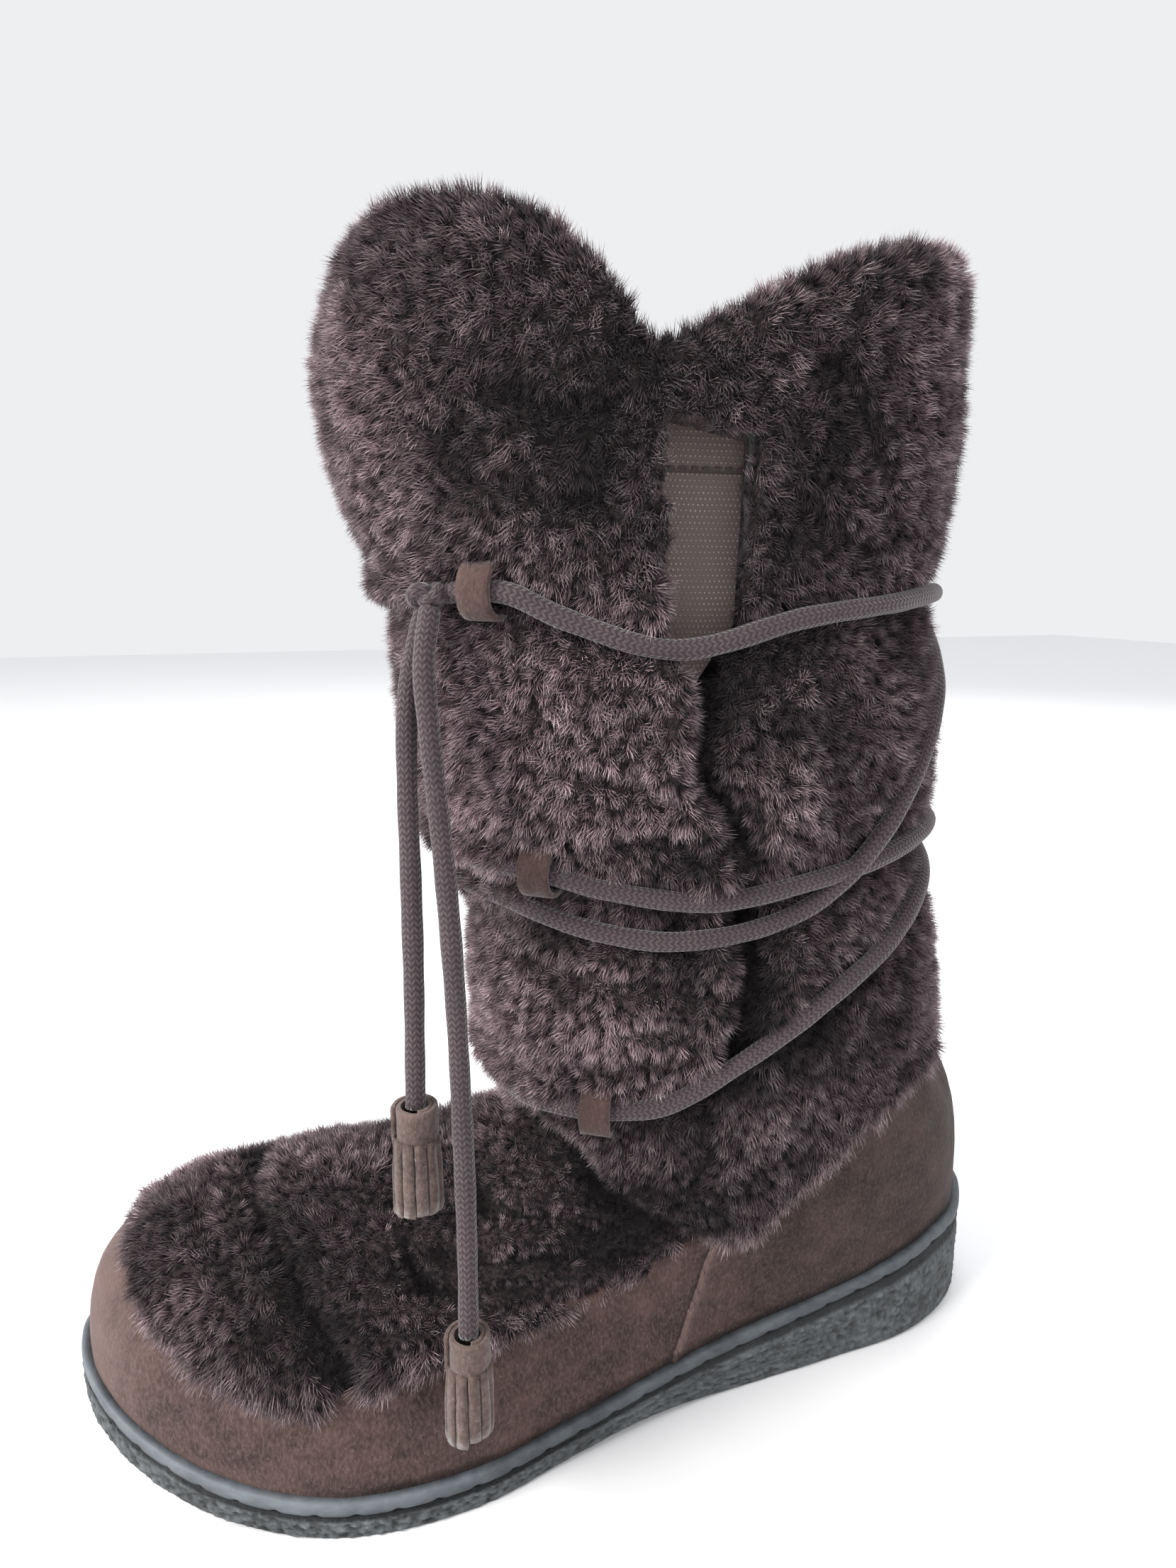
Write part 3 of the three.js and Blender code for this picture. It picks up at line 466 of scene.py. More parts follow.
def normals_of(points: Points, faces: Faces) -> Points:
    """Vertex normals of a mesh of quads."""
    quads = np.array([face if len(face) == 4 else (*face, face[-1]) for face in faces])
    a, b, c, d = (points[quads[:, i]] for i in range(4))
    flat = np.cross(c - a, d - b)
    total = np.zeros_like(points)
    for i in range(4):
        np.add.at(total, quads[:, i], flat)
    return total / np.maximum(np.linalg.norm(total, axis=1, keepdims=True), 1e-9)


def kept(points: Points, faces: Faces, keep: Points) -> tuple[Points, Faces]:
    """Part of a mesh whose faces have all their corners kept."""
    chosen = [face for face in faces if all(keep[i] for i in face)]
    used = np.unique(np.array([i for face in chosen for i in face]))
    renumber = -np.ones(len(points), int)
    renumber[used] = np.arange(len(used))
    return points[used], [tuple(renumber[list(face)]) for face in chosen]


def walled(points: Points, faces: Faces, depth: Points,
           normals: Points | None = None) -> tuple[Points, Faces]:
    """Closed shell from a skin, with an inner face at a depth under each point.

    Args:
        points: Points of the skin.
        faces: Its faces, facing outwards.
        depth: Thickness at each point.
        normals: Outward direction at each point, where the mesh's own isn't wanted.

    Returns:
        Points and faces, with the inner points after the outer ones.
    """
    normals = normals_of(points, faces) if normals is None else normals
    inner = points - normals * np.asarray(depth)[:, None]
    count = len(points)
    back = [tuple(i + count for i in reversed(face)) for face in faces]
    edges = dict.fromkeys((a, b) for face in faces for a, b in zip(face, (*face[1:], face[0])))
    rim = [(b, a, a + count, b + count) for a, b in edges if (b, a) not in edges]
    return np.concatenate([points, inner]), [*faces, *back, *rim]


def open_edge(faces: Faces) -> set[int]:
    """Numbers of the points on the open edges of a skin."""
    edges = {(a, b) for face in faces for a, b in zip(face, (*face[1:], face[0]))}
    return {i for a, b in edges if (b, a) not in edges for i in (a, b)}


def joined(parts: Iterable[tuple[Points, Faces]]) -> tuple[Points, Faces]:
    """Several meshes as one, in their order."""
    points, faces, start = [], [], 0
    for part_points, part_faces in parts:
        points.append(part_points)
        faces += [tuple(i + start for i in face) for face in part_faces]
        start += len(part_points)
    return np.concatenate(points), faces


def union_skin(solids: Sequence[tuple[Points, Faces]], voxel: float, rounds: int) -> tuple[Points, Faces]:
    """Even skin around several closed solids.

    Args:
        solids: Points and faces of each solid, in millimetres.
        voxel: Size of the new faces in millimetres.
        rounds: Rounds of smoothing.

    Returns:
        Points and faces of the skin.
    """
    rough = mesh_object("rough", *joined(solids))
    remesh = rough.modifiers.new("remesh", "REMESH")
    remesh.mode = "VOXEL"
    remesh.voxel_size = voxel * MM
    ease = rough.modifiers.new("ease", "SMOOTH")
    ease.factor = 0.5
    ease.iterations = rounds
    skin = baked(rough, "skin")
    found = arrays_of(skin)
    drop(skin)
    return found


def foot_solid(offset: float, steps: int = 150, levels: int = 22,
               under: float = 30.0) -> tuple[Points, Faces]:
    """Closed solid of the foot form."""
    turn = np.arange(2 * steps) / steps
    angles = np.linspace(0, math.pi / 2, levels)
    rings = [LAST.foot_point(turn, angle, offset) for angle in angles]
    hem = rings[0] - np.array([0, 0, under])
    points = np.concatenate([hem, *rings])
    count = 2 * steps
    faces = ring_faces(levels + 1, count)
    top = levels * count
    for k in range(steps):
        far = (count - k) % count
        low = [k + 1, k, far, count - k - 1]
        faces.append(tuple(dict.fromkeys(low)))
        faces.append(tuple(dict.fromkeys(top + i for i in reversed(low))))
    return points, [face for face in faces if len(face) > 2]


def shaft_solid(depth: Callable[[Points, float], Any], top: float, steps: int = 160,
                rise: float = 3.0) -> tuple[Points, Faces]:
    """Closed solid of the shaft form, with a depth of pile at each angle and height."""
    heights = np.arange(SHAFT_ROWS[0].z, top + 0.1, rise)
    degrees = -360 * np.arange(steps) / steps
    rings = [LAST.shaft_point(degrees, z, depth(degrees, z)) for z in heights]
    points = np.concatenate(rings)
    faces = [tuple(reversed(face)) for face in ring_faces(len(heights), steps)]
    faces.append(tuple(range(steps)))
    faces.append(tuple(reversed(range(len(points) - steps, len(points)))))
    return points, faces


def rounded_route(route: Points, spacing: float) -> Points:
    """Evenly spaced points on a centripetal spline through a route."""
    route = np.asarray(route, float)
    padded = np.concatenate([[2 * route[0] - route[1]], route, [2 * route[-1] - route[-2]]])
    found = []
    for p0, p1, p2, p3 in zip(padded, padded[1:], padded[2:], padded[3:]):
        knots = np.cumsum([0, *(np.linalg.norm(b - a) ** 0.5 for a, b in ((p0, p1), (p1, p2), (p2, p3)))])
        t = np.linspace(knots[1], knots[2], 24, endpoint=False)[:, None]
        a1 = ((knots[1] - t) * p0 + (t - knots[0]) * p1) / (knots[1] - knots[0])
        a2 = ((knots[2] - t) * p1 + (t - knots[1]) * p2) / (knots[2] - knots[1])
        a3 = ((knots[3] - t) * p2 + (t - knots[2]) * p3) / (knots[3] - knots[2])
        b1 = ((knots[2] - t) * a1 + (t - knots[0]) * a2) / (knots[2] - knots[0])
        b2 = ((knots[3] - t) * a2 + (t - knots[1]) * a3) / (knots[3] - knots[1])
        found.append(((knots[2] - t) * b1 + (t - knots[1]) * b2) / (knots[2] - knots[1]))
    dense = np.concatenate([*found, route[-1:]])
    lengths = np.concatenate([[0], np.cumsum(np.linalg.norm(np.diff(dense, axis=0), axis=1))])
    even = np.linspace(0, lengths[-1], max(int(round(lengths[-1] / spacing)), 2) + 1)
    return np.stack([np.interp(even, lengths, dense[:, i]) for i in range(3)], -1)


def tube(path: Points, radius: Any, sides: int, closed: bool = False) -> tuple[Points, Faces, Points]:
    """Round tube along a path, with closed ends.

    Args:
        path: Points of its centre line.
        radius: Radius, one number or one for each point.
        sides: Number of sides.
        closed: Whether the path closes on itself.

    Returns:
        Points, faces, and for each point its turn around the tube and its length along it.
    """
    count = len(path)
    tangents = np.gradient(path, axis=0)
    if closed:
        tangents = np.roll(path, -1, 0) - np.roll(path, 1, 0)
    tangents /= np.linalg.norm(tangents, axis=1, keepdims=True)
    side = np.cross(tangents[0], [0.31, 0.52, 0.79])
    sides_at = []
    for tangent in tangents:
        side = side - tangent * (side @ tangent)
        side /= np.linalg.norm(side)
        sides_at.append(side.copy())
    across = np.array(sides_at)
    over = np.cross(tangents, across)
    turn = 2 * np.pi * np.arange(sides) / sides
    radius = np.broadcast_to(np.asarray(radius, float), (count,))[:, None, None]
    rings = path[:, None] + radius * (across[:, None] * np.cos(turn)[None, :, None]
                                      + over[:, None] * np.sin(turn)[None, :, None])
    run = np.concatenate([[0], np.cumsum(np.linalg.norm(np.diff(path, axis=0), axis=1))])
    places = np.stack([np.tile(turn, count), np.repeat(run, sides)], -1)
    faces = ring_faces(count, sides)
    last = (count - 1) * sides
    if closed:
        faces += [(last + k, last + (k + 1) % sides, (k + 1) % sides, k) for k in range(sides)]
    else:
        faces.append(tuple(reversed(range(sides))))
        faces.append(tuple(range(last, last + sides)))
    return rings.reshape(-1, 3), faces, places


class Term:
    """Output of a node that can be used in sums, products and powers."""

    def __init__(self, graph: "Graph", socket: bpy.types.NodeSocket) -> None:
        """Keeps the graph and the socket."""
        self.graph = graph
        self.socket = socket

    def math(self, operation: str, *values: Any) -> "Term":
        """Adds a Math node."""
        return self.graph.node("ShaderNodeMath", {"operation": operation}, dict(enumerate(values)))

    def __add__(self, other: Any) -> "Term":
        """Sum."""
        return self.math("ADD", self, other)

    __radd__ = __add__

    def __sub__(self, other: Any) -> "Term":
        """Difference."""
        return self.math("SUBTRACT", self, other)

    def __rsub__(self, other: Any) -> "Term":
        """Difference from a number."""
        return self.math("SUBTRACT", other, self)

    def __mul__(self, other: Any) -> "Term":
        """Product."""
        return self.math("MULTIPLY", self, other)

    __rmul__ = __mul__

    def __truediv__(self, other: Any) -> "Term":
        """Quotient."""
        return self.math("DIVIDE", self, other)

    def __rtruediv__(self, other: Any) -> "Term":
        """Quotient of a number."""
        return self.math("DIVIDE", other, self)

    def __pow__(self, other: Any) -> "Term":
        """Power."""
        return self.math("POWER", self, other)

    def rise(self, low: float, high: float) -> "Term":
        """Rises smoothly from 0 at low to 1 at high."""
        return self.graph.node("ShaderNodeMapRange", {"interpolation_type": "SMOOTHSTEP"},
                               {0: self, 1: low, 2: high, 3: 0.0, 4: 1.0})


class Graph:
    """Node tree of a material or of Geometry Nodes."""

    def __init__(self, tree: bpy.types.NodeTree) -> None:
        """Keeps the tree."""
        self.tree = tree

    def node(self, kind: str, settings: dict[str, Any] | None = None,
             inputs: dict[Any, Any] | None = None, output: Any = 0) -> Term:
        """Adds a node.

        Args:
            kind: Type of the node.
            settings: Its settings, which are set first.
            inputs: Values or terms for its sockets, by number or name.
            output: Number or name of the output that is wanted.

        Returns:
            That output, if the node has any.
        """
        made = self.tree.nodes.new(kind)
        for name, value in (settings or {}).items():
            setattr(made, name, value)
        for key, value in (inputs or {}).items():
            if isinstance(value, Term):
                self.tree.links.new(value.socket, made.inputs[key])
            else:
                made.inputs[key].default_value = value
        return Term(self, made.outputs[output]) if made.outputs else None

    def attribute(self, name: str, output: str = "Fac") -> Term:
        """Attribute of the mesh."""
        return self.node("ShaderNodeAttribute", {"attribute_name": name}, output=output)

    def mix(self, share: Any, low: Any, high: Any) -> Term:
        """Blend of two colours."""
        return self.node("ShaderNodeMix", {"data_type": "RGBA"},
                         {0: share, 6: rgba(low), 7: rgba(high)}, 2)

    def dimmed(self, colour: Term, share: Any) -> Term:
        """Colour made darker by a share."""
        return self.mix(share, (0.0, 0.0, 0.0), colour)


def rgba(colour: Any) -> Any:
    """Colour with its alpha, or a term as it is."""
    return colour if isinstance(colour, Term) else (*colour, 1.0)


def from_screen(red: int, green: int, blue: int) -> tuple[float, float, float]:
    """Colour as a screen shows it, from 0 to 255, made linear."""
    return tuple(
        value / 255 / 12.92 if value <= 10 else ((value / 255 + 0.055) / 1.055) ** 2.4
        for value in (red, green, blue)
    )


@dataclass(frozen=True)
class Finish:
    """Surface that one material shows. Sizes of its patterns are in millimetres."""

    name: str
    roughness: float
    sheen: float = 0.0

    def colours(self, graph: Graph, place: Term) -> tuple[Term, Any, Term | None]:
        """Colour, roughness and height; each finish has its own."""
        raise NotImplementedError

    def noise(self, graph: Graph, place: Term, size: float, detail: float = 3.0,
              stretch: tuple[float, float, float] = (1, 1, 1)) -> Term:
        """Noise from 0 to 1 with lumps of a size in millimetres, stretched along the axes."""
        scaled = graph.node("ShaderNodeMapping", {"vector_type": "POINT"},
                            {0: place, 3: tuple(1 / s for s in stretch)})
        return graph.node("ShaderNodeTexNoise", {}, {
            "Vector": scaled, "Scale": 1 / (size * MM), "Detail": detail, "Roughness": 0.6})

    def make(self) -> bpy.types.Material:
        """Builds the material.

        Returns:
            The material, ready to assign.
        """
        material = bpy.data.materials.new(self.name)
        material.use_nodes = True
        tree = material.node_tree
        tree.nodes.clear()
        graph = Graph(tree)
        place = graph.node("ShaderNodeTexCoord", output="Object")
        colour, roughness, height = self.colours(graph, place)
        inputs = {"Base Color": colour, "Roughness": roughness, "Sheen Weight": self.sheen,
                  "Sheen Roughness": SHEEN_ROUGHNESS, "Specular IOR Level": SPECULAR}
        if height is not None:
            inputs["Normal"] = graph.node("ShaderNodeBump", {}, {
                "Height": height, "Strength": BUMP_STRENGTH, "Distance": BUMP_DEPTH * MM})
        surface = graph.node("ShaderNodeBsdfPrincipled", {}, inputs)
        graph.node("ShaderNodeOutputMaterial", {}, {"Surface": surface})
        return material


@dataclass(frozen=True)
class PileFinish(Finish):
    """Tufts of pile, dark at the root as painted shade deep in the pile, and paler at the tip, partly their
    own colour and partly painted light.
    """

    # Near-black root: painted shade deep in the pile.
    root: tuple[float, float, float] = from_screen(21, 14, 18)
    middle: tuple[float, float, float] = from_screen(146, 119, 126)
    tip: tuple[float, float, float] = from_screen(240, 220, 225)
    grain: float = 1.3
    stretch: tuple[float, float, float] = (1.5, 7.0, 1.0)
    slant: float = -0.27

    def colours(self, graph: Graph, place: Term) -> tuple[Term, Any, Term | None]:
        """Colour runs from root to tip, with grain, and streaks where the pile is brushed flat, dimmed by
        painted shade and light.
        """
        along = graph.attribute("tip")
        tone_and_painted_shading = graph.attribute("tone_and_painted_shading")
        lot = graph.attribute("lot")
        streak = graph.attribute("streak")
        slanted = graph.node("ShaderNodeMapping", {"vector_type": "TEXTURE"},
                             {0: place, 2: (self.slant, 0, 0), 3: self.stretch})
        lines = self.noise(graph, slanted, self.grain, 2.0).rise(0.4, 0.62)
        grain = self.noise(graph, place, self.grain, 2.0).rise(0.3, 0.7)
        light = 0.55 + 0.8 * grain + streak * (lines * 1.7 - 0.8 * grain - 0.3)
        low = graph.mix(along.rise(0.1, 0.7), self.root, self.middle)
        high = graph.mix(along.rise(0.45, 1.0) * (0.2 + 0.8 * lot), low, self.tip)
        # Dimmed by the ground's painted shade and light, and by painted shade on tufts at the edges of their
        # clump.
        return graph.dimmed(high, (0.04 + 0.72 * tone_and_painted_shading) * (0.3 + 0.7 * lot) * light), self.roughness, None


@dataclass(frozen=True)
class HideFinish(Finish):
    """Dense pile between the tufts and the short fleece inside."""

    dark: tuple[float, float, float] = from_screen(24, 18, 20)
    pale: tuple[float, float, float] = from_screen(66, 54, 54)

    def colours(self, graph: Graph, place: Term) -> tuple[Term, Any, Term | None]:
        """Small dark and paler clumps, dimmed by the painted shade and light that the ground carries."""
        tone_and_painted_shading = graph.attribute("tone_and_painted_shading")
        clumps = self.noise(graph, place, 2.2)
        fine = self.noise(graph, place, 0.7, 2.0)
        colour = graph.mix((clumps * 0.6 + fine * 0.4).rise(0.35, 0.7), self.dark, self.pale)
        return graph.dimmed(colour, 0.25 + 0.75 * tone_and_painted_shading), self.roughness, clumps + 0.5 * fine


@dataclass(frozen=True)
class SuedeFinish(Finish):
    """Napped suede with paler speckles, brushed patches and painted shade."""

    deep: tuple[float, float, float] = from_screen(38, 27, 25)
    warm: tuple[float, float, float] = from_screen(72, 54, 50)
    pale: tuple[float, float, float] = from_screen(130, 108, 103)
    speckle: float = 0.5

    def colours(self, graph: Graph, place: Term) -> tuple[Term, Any, Term | None]:
        """Patches of brushed nap, short fibres and worn edges, dimmed by painted shade."""
        wear = graph.attribute("wear")
        patches = self.noise(graph, place, 16, 4.0)
        brushed = self.noise(graph, place, 5, 3.0, (1, 1.6, 1))
        fibres = self.noise(graph, place, 0.8, 3.0, (1, 1, 1.8))
        specks = self.noise(graph, place, 0.8, 3.0, (1, 1, 1.3)).rise(0.55, 0.8)
        base = graph.mix((patches * 0.6 + brushed * 0.4).rise(0.32, 0.66), self.deep, self.warm)
        base = graph.mix(fibres.rise(0.35, 0.75) * 0.25, base, self.pale)
        colour = graph.mix(specks * self.speckle + wear * 0.55, base, self.pale)
        # Painted shade that the panels carry.
        shade = graph.attribute("shade")
        height = fibres + 0.7 * specks + 0.4 * brushed
        return graph.dimmed(colour, 1 - shade), self.roughness, height


@dataclass(frozen=True)
class BraidFinish(Finish):
    """Round braid of soft yarn: short slanted stitches that lean both ways in turn."""

    deep: tuple[float, float, float] = from_screen(38, 30, 34)
    pale: tuple[float, float, float] = from_screen(93, 79, 82)
    columns: int = 8
    pitch: float = 1.5

    def colours(self, graph: Graph, place: Term) -> tuple[Term, Any, Term | None]:
        """Herringbone from the turn around the lace and the length along it."""
        places = graph.attribute("round", "Vector")
        across, over, run = (graph.node("ShaderNodeSeparateXYZ", {}, {0: places}, i) for i in range(3))
        around = over.math("ARCTAN2", over, across) * self.columns
        lean = around.math("PINGPONG", around, math.pi)
        phase = run * (2 * math.pi / self.pitch) + lean * 1.3
        stitch = phase.math("SINE", phase) * 0.5 + 0.5
        column = around.math("COSINE", around * 2) * -0.5 + 0.5
        fuzz = self.noise(graph, place, 0.6, 2.0)
        patches = self.noise(graph, place, 14, 2.0)
        height = 0.7 * stitch * (0.45 + 0.55 * column) + 0.8 * fuzz
        # Paler on the raised stitches and darker between them: painted shade in the braid's grooves, with
        # random patches.
        share = height.rise(0.1, 1.2) * (0.5 + 0.5 * patches)
        return graph.mix(share, self.deep, self.pale), self.roughness, height


@dataclass(frozen=True)
class ElasticFinish(Finish):
    """Woven elastic: rows of small paler dots, with a sewn hem near the top."""

    ground: tuple[float, float, float] = from_screen(86, 75, 73)
    dot: tuple[float, float, float] = from_screen(142, 128, 123)
    row: float = 1.25
    column: float = 1.1
    hem: float = GORE_HEM

    def colours(self, graph: Graph, place: Term) -> tuple[Term, Any, Term | None]:
        """Dots in rows that are shifted by half a step, and the line of the hem."""
        across, up = (graph.node("ShaderNodeSeparateXYZ", {}, {0: place}, axis) for axis in (1, 2))
        row = up / (self.row * MM)
        shifted = across / (self.column * MM) + 0.5 * row.math("FLOOR", row)
        wave = shifted.math("SINE", shifted * (2 * math.pi)) * 0.5 + 0.5
        band = row.math("SINE", row * (2 * math.pi)) * 0.5 + 0.5
        dots = (wave * band).rise(0.35, 0.85)
        fade = self.noise(graph, place, 9, 2.0).rise(0.25, 0.75)
        line = (up - self.hem * MM).math("ABSOLUTE", up - self.hem * MM).rise(0.0003, 0.0009)
        colour = graph.mix(dots * (0.3 + 0.7 * fade), self.ground, self.dot)
        return graph.dimmed(colour, 0.6 + 0.4 * line), self.roughness, dots + 1.5 * line


@dataclass(frozen=True)
class RubberFinish(Finish):
    """Grey rubber, paler with dust on high spots and with painted highlights."""

    deep: tuple[float, float, float] = from_screen(30, 32, 34)
    dusty: tuple[float, float, float] = from_screen(106, 110, 112)
    grain: float = 0.8
    streak: float = 1.0

    def colours(self, graph: Graph, place: Term) -> tuple[Term, Any, Term | None]:
        """Paler where high is large: dust on the high spots and painted highlights; clean rubber in the low
        ones and in painted shade.
        """
        high = graph.attribute("high")
        fine = self.noise(graph, place, self.grain, 3.0, (self.streak, self.streak, 1))
        patches = self.noise(graph, place, 12, 3.0)
        share = (high * 0.65 + fine * 0.35 + (patches - 0.5) * 0.4).rise(0.15, 0.95)
        rough = self.roughness + 0.15 * fine
        return graph.mix(share, self.deep, self.dusty), rough, fine


PILE = PileFinish("pile_tufts", 0.62, 0.15)
HIDE = HideFinish("pile_ground", 0.9, 0.1)
FLEECE = HideFinish("fleece", 0.95, 0.2, from_screen(20, 15, 16), from_screen(60, 48, 46))
SUEDE = SuedeFinish("suede", 0.92, 0.06)
LOOP_SUEDE = SuedeFinish("loop_suede", 0.9, 0.25, from_screen(42, 29, 27), from_screen(68, 50, 46),
                         from_screen(110, 88, 82), 0.3)
TASSEL_SUEDE = SuedeFinish("tassel_suede", 0.9, 0.3, from_screen(54, 42, 39),
                           from_screen(84, 68, 63), from_screen(138, 119, 112), 0.5)
BRAID = BraidFinish("braid", 0.85, 0.3)
ELASTIC = ElasticFinish("elastic", 0.85, 0.1)
CREPE = RubberFinish("crepe", 0.62, 0.0, streak=1.5)
RIM = RubberFinish("rim", 0.5, 0.0, from_screen(40, 43, 46), from_screen(112, 118, 124), 2.0, 2.5)


def wear(thing: bpy.types.Object, material: bpy.types.Material) -> None:
    """Gives an object one material."""
    thing.data.materials.clear()
    thing.data.materials.append(material)


def seat(thing: bpy.types.Object, slot: str, *nodes: str) -> None:
    """Rides a piece on the boot and hides the solids that it stands for."""
    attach(thing, BODY)
    if nodes:
        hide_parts(*nodes)
    LOG.info("%s: %d faces", thing.name, len(thing.data.polygons))


class Side(Enum):
    """Side of the boot that a crease lies on."""

    OUTER = "outer"
    INNER = "inner"
    TOP = "top"

    def axes(self) -> tuple[int, int]:
        """Numbers of the two axes that its creases are drawn in."""
        return (0, 1) if self is Side.TOP else (1, 2)

    def share(self, points: Points) -> Points:
        """How much of a crease on this side reaches each point."""
        if self is Side.TOP:
            return smooth_step(110, 80, points[:, 2])
        sign = 1 if self is Side.OUTER else -1
        return smooth_step(2, 14, sign * points[:, 0])


class Crease(NamedTuple):
    """Soft trough in the pile, or a ridge where its depth is negative."""

    side: Side
    depth: float
    width: float
    points: tuple[tuple[float, float], ...]


CREASES = (
    Crease(Side.OUTER, 6.0, 3.8, ((9, 232), (17, 209), (17, 198), (15, 187), (24, 176), (29, 168))),
    Crease(Side.OUTER, 6.0, 4.0, ((29, 152), (33, 140), (33.5, 131), (31, 118), (28, 108))),
    Crease(Side.OUTER, 5.0, 3.4, ((-20, 88), (-6, 80), (0, 68), (9.5, 61.5), (22, 53), (32, 47))),
    Crease(Side.OUTER, 2.2, 3.0, ((22, 106), (26, 92), (27, 80), (24, 70))),
    Crease(Side.OUTER, 2.8, 2.5, ((-10, 186), (2, 184), (10, 181))),
    Crease(Side.OUTER, 2.8, 2.5, ((-2, 170), (8, 171), (22, 168))),
    Crease(Side.OUTER, 2.8, 2.4, ((-14, 135), (0, 133), (16, 131), (28, 128))),
    Crease(Side.OUTER, 2.4, 2.2, ((6, 121), (18, 120), (30, 119))),
    Crease(Side.OUTER, 2.4, 2.2, ((-8, 107), (6, 112), (20, 113))),
    Crease(Side.OUTER, 3.0, 2.2, ((-44, 60.5), (-34, 57.5), (-10, 54.7), (8, 49.7), (29, 40.2))),
    Crease(Side.OUTER, 2.8, 2.1, ((-51, 56), (-35, 53.5), (-17, 49.3), (7, 43.5), (25, 38.8))),
    Crease(Side.OUTER, 2.8, 2.2, ((-30, 66.3), (-16, 64.3), (1, 58.5), (17, 50.3), (30, 41))),
    Crease(Side.OUTER, 3.0, 2.2, ((-53, 61), (-45, 52.7), (-35, 48.4), (-11, 44), (12, 40.4), (25, 38))),
    Crease(Side.OUTER, -2.8, 3.6, ((1, 228), (9, 209), (9, 197), (8, 186), (17, 174), (21, 162))),
    Crease(Side.OUTER, -2.8, 3.6, ((22, 150), (25, 138), (25, 124), (21, 110))),
    Crease(Side.OUTER, -2.2, 5.0, ((38, 205), (40, 190), (36, 172))),
    Crease(Side.OUTER, -2.4, 5.0, ((42, 150), (43, 132), (38, 112))),
    Crease(Side.OUTER, 2.4, 2.6, ((-30, 268), (-18, 262), (-6, 264))),
    Crease(Side.OUTER, 2.2, 2.6, ((-34, 252), (-20, 246), (-8, 247))),
    Crease(Side.OUTER, 2.4, 3.0, ((40, 276), (52, 262), (60, 244))),
    Crease(Side.OUTER, 2.2, 2.8, ((34, 248), (44, 240), (58, 236))),
    Crease(Side.INNER, 3.0, 3.5, ((-8, 84), (10, 74), (30, 70), (50, 76))),
    Crease(Side.INNER, 2.2, 3.0, ((20, 222), (22, 204), (18, 186), (24, 170))),
    Crease(Side.INNER, 2.2, 3.0, ((26, 138), (30, 124), (26, 106))),
    Crease(Side.INNER, 1.8, 2.5, ((-40, 60), (-16, 62), (10, 58))),
    Crease(Side.INNER, 1.8, 2.5, ((-56, 50), (-30, 52), (0, 52))),
    Crease(Side.TOP, 4.4, 3.4, ((43, -69), (34, -75), (28, -79), (19, -83), (11, -87), (-4, -90),
                                (-20, -86))),
    Crease(Side.TOP, 1.8, 2.6, ((33, -85), (25, -91), (14.5, -97), (4, -100), (-12, -99))),
    Crease(Side.TOP, 1.6, 2.6, ((30, -52), (12, -46), (-8, -46))),
    Crease(Side.TOP, 1.6, 2.6, ((34, -34), (14, -30), (-10, -32))),
)

class Shade(NamedTuple):
    """Patch of painted shade on the pile's outer side or, where its strength is negative, of painted light.
    """

    y: float
    z: float
    reach: float
    strength: float


# Painted shade patches, and painted light patches where the strength is negative.
SHADES = (
    Shade(6, 57, 18, 0.65), Shade(30, 64, 15, 0.7), Shade(-14, 52, 14, 0.15),
    Shade(42, 244, 24, 0.3), Shade(-8, 264, 24, 0.5), Shade(40, 128, 16, 0.6),
    Shade(48, 106, 24, 0.6), Shade(44, 192, 22, 0.5), Shade(-77, 58, 10, 0.35),
    Shade(-100, 58, 16, -0.3), Shade(-16, 193, 27, -1.1), Shade(-4, 121, 18, -1.1),
    Shade(-46, 262, 20, -0.4), Shade(-36, 222, 16, -0.3), Shade(18, 150, 12, 0.3),
    Shade(-22, 74, 11, -0.4), Shade(-44, 68, 11, 0.5), Shade(14, 166, 9, 0.4),
)


def over_hem(points: Points) -> Points:
    """Height of points over the pile's lower edge."""
    return points[:, 2] - PILE_LINE(points[:, 0], points[:, 1])


def under_collar(points: Points) -> Points:
    """Depth of points under the collar's edge."""
    return COLLAR_LINE(points[:, 0], points[:, 1]) - points[:, 2]


def distance_to_line(points: Points, line: Sequence[tuple[float, float]]) -> Points:
    """Distance of points in a plane from a line through several points."""
    best = np.full(len(points), 1e9)
    for a, b in zip(np.array(line, float), np.array(line[1:], float)):
        share = np.clip((points - a) @ (b - a) / ((b - a) @ (b - a)), 0, 1)
        best = np.minimum(best, np.linalg.norm(points - a - share[:, None] * (b - a), axis=1))
    return best


def crease_depth(points: Points) -> Points:
    """How deep the creases are at points of the pile."""
    total = np.zeros(len(points))
    for crease in CREASES:
        near = distance_to_line(points[:, crease.side.axes()], crease.points)
        total += crease.depth * crease.side.share(points) * np.exp(-((near / crease.width) ** 2))
    return total


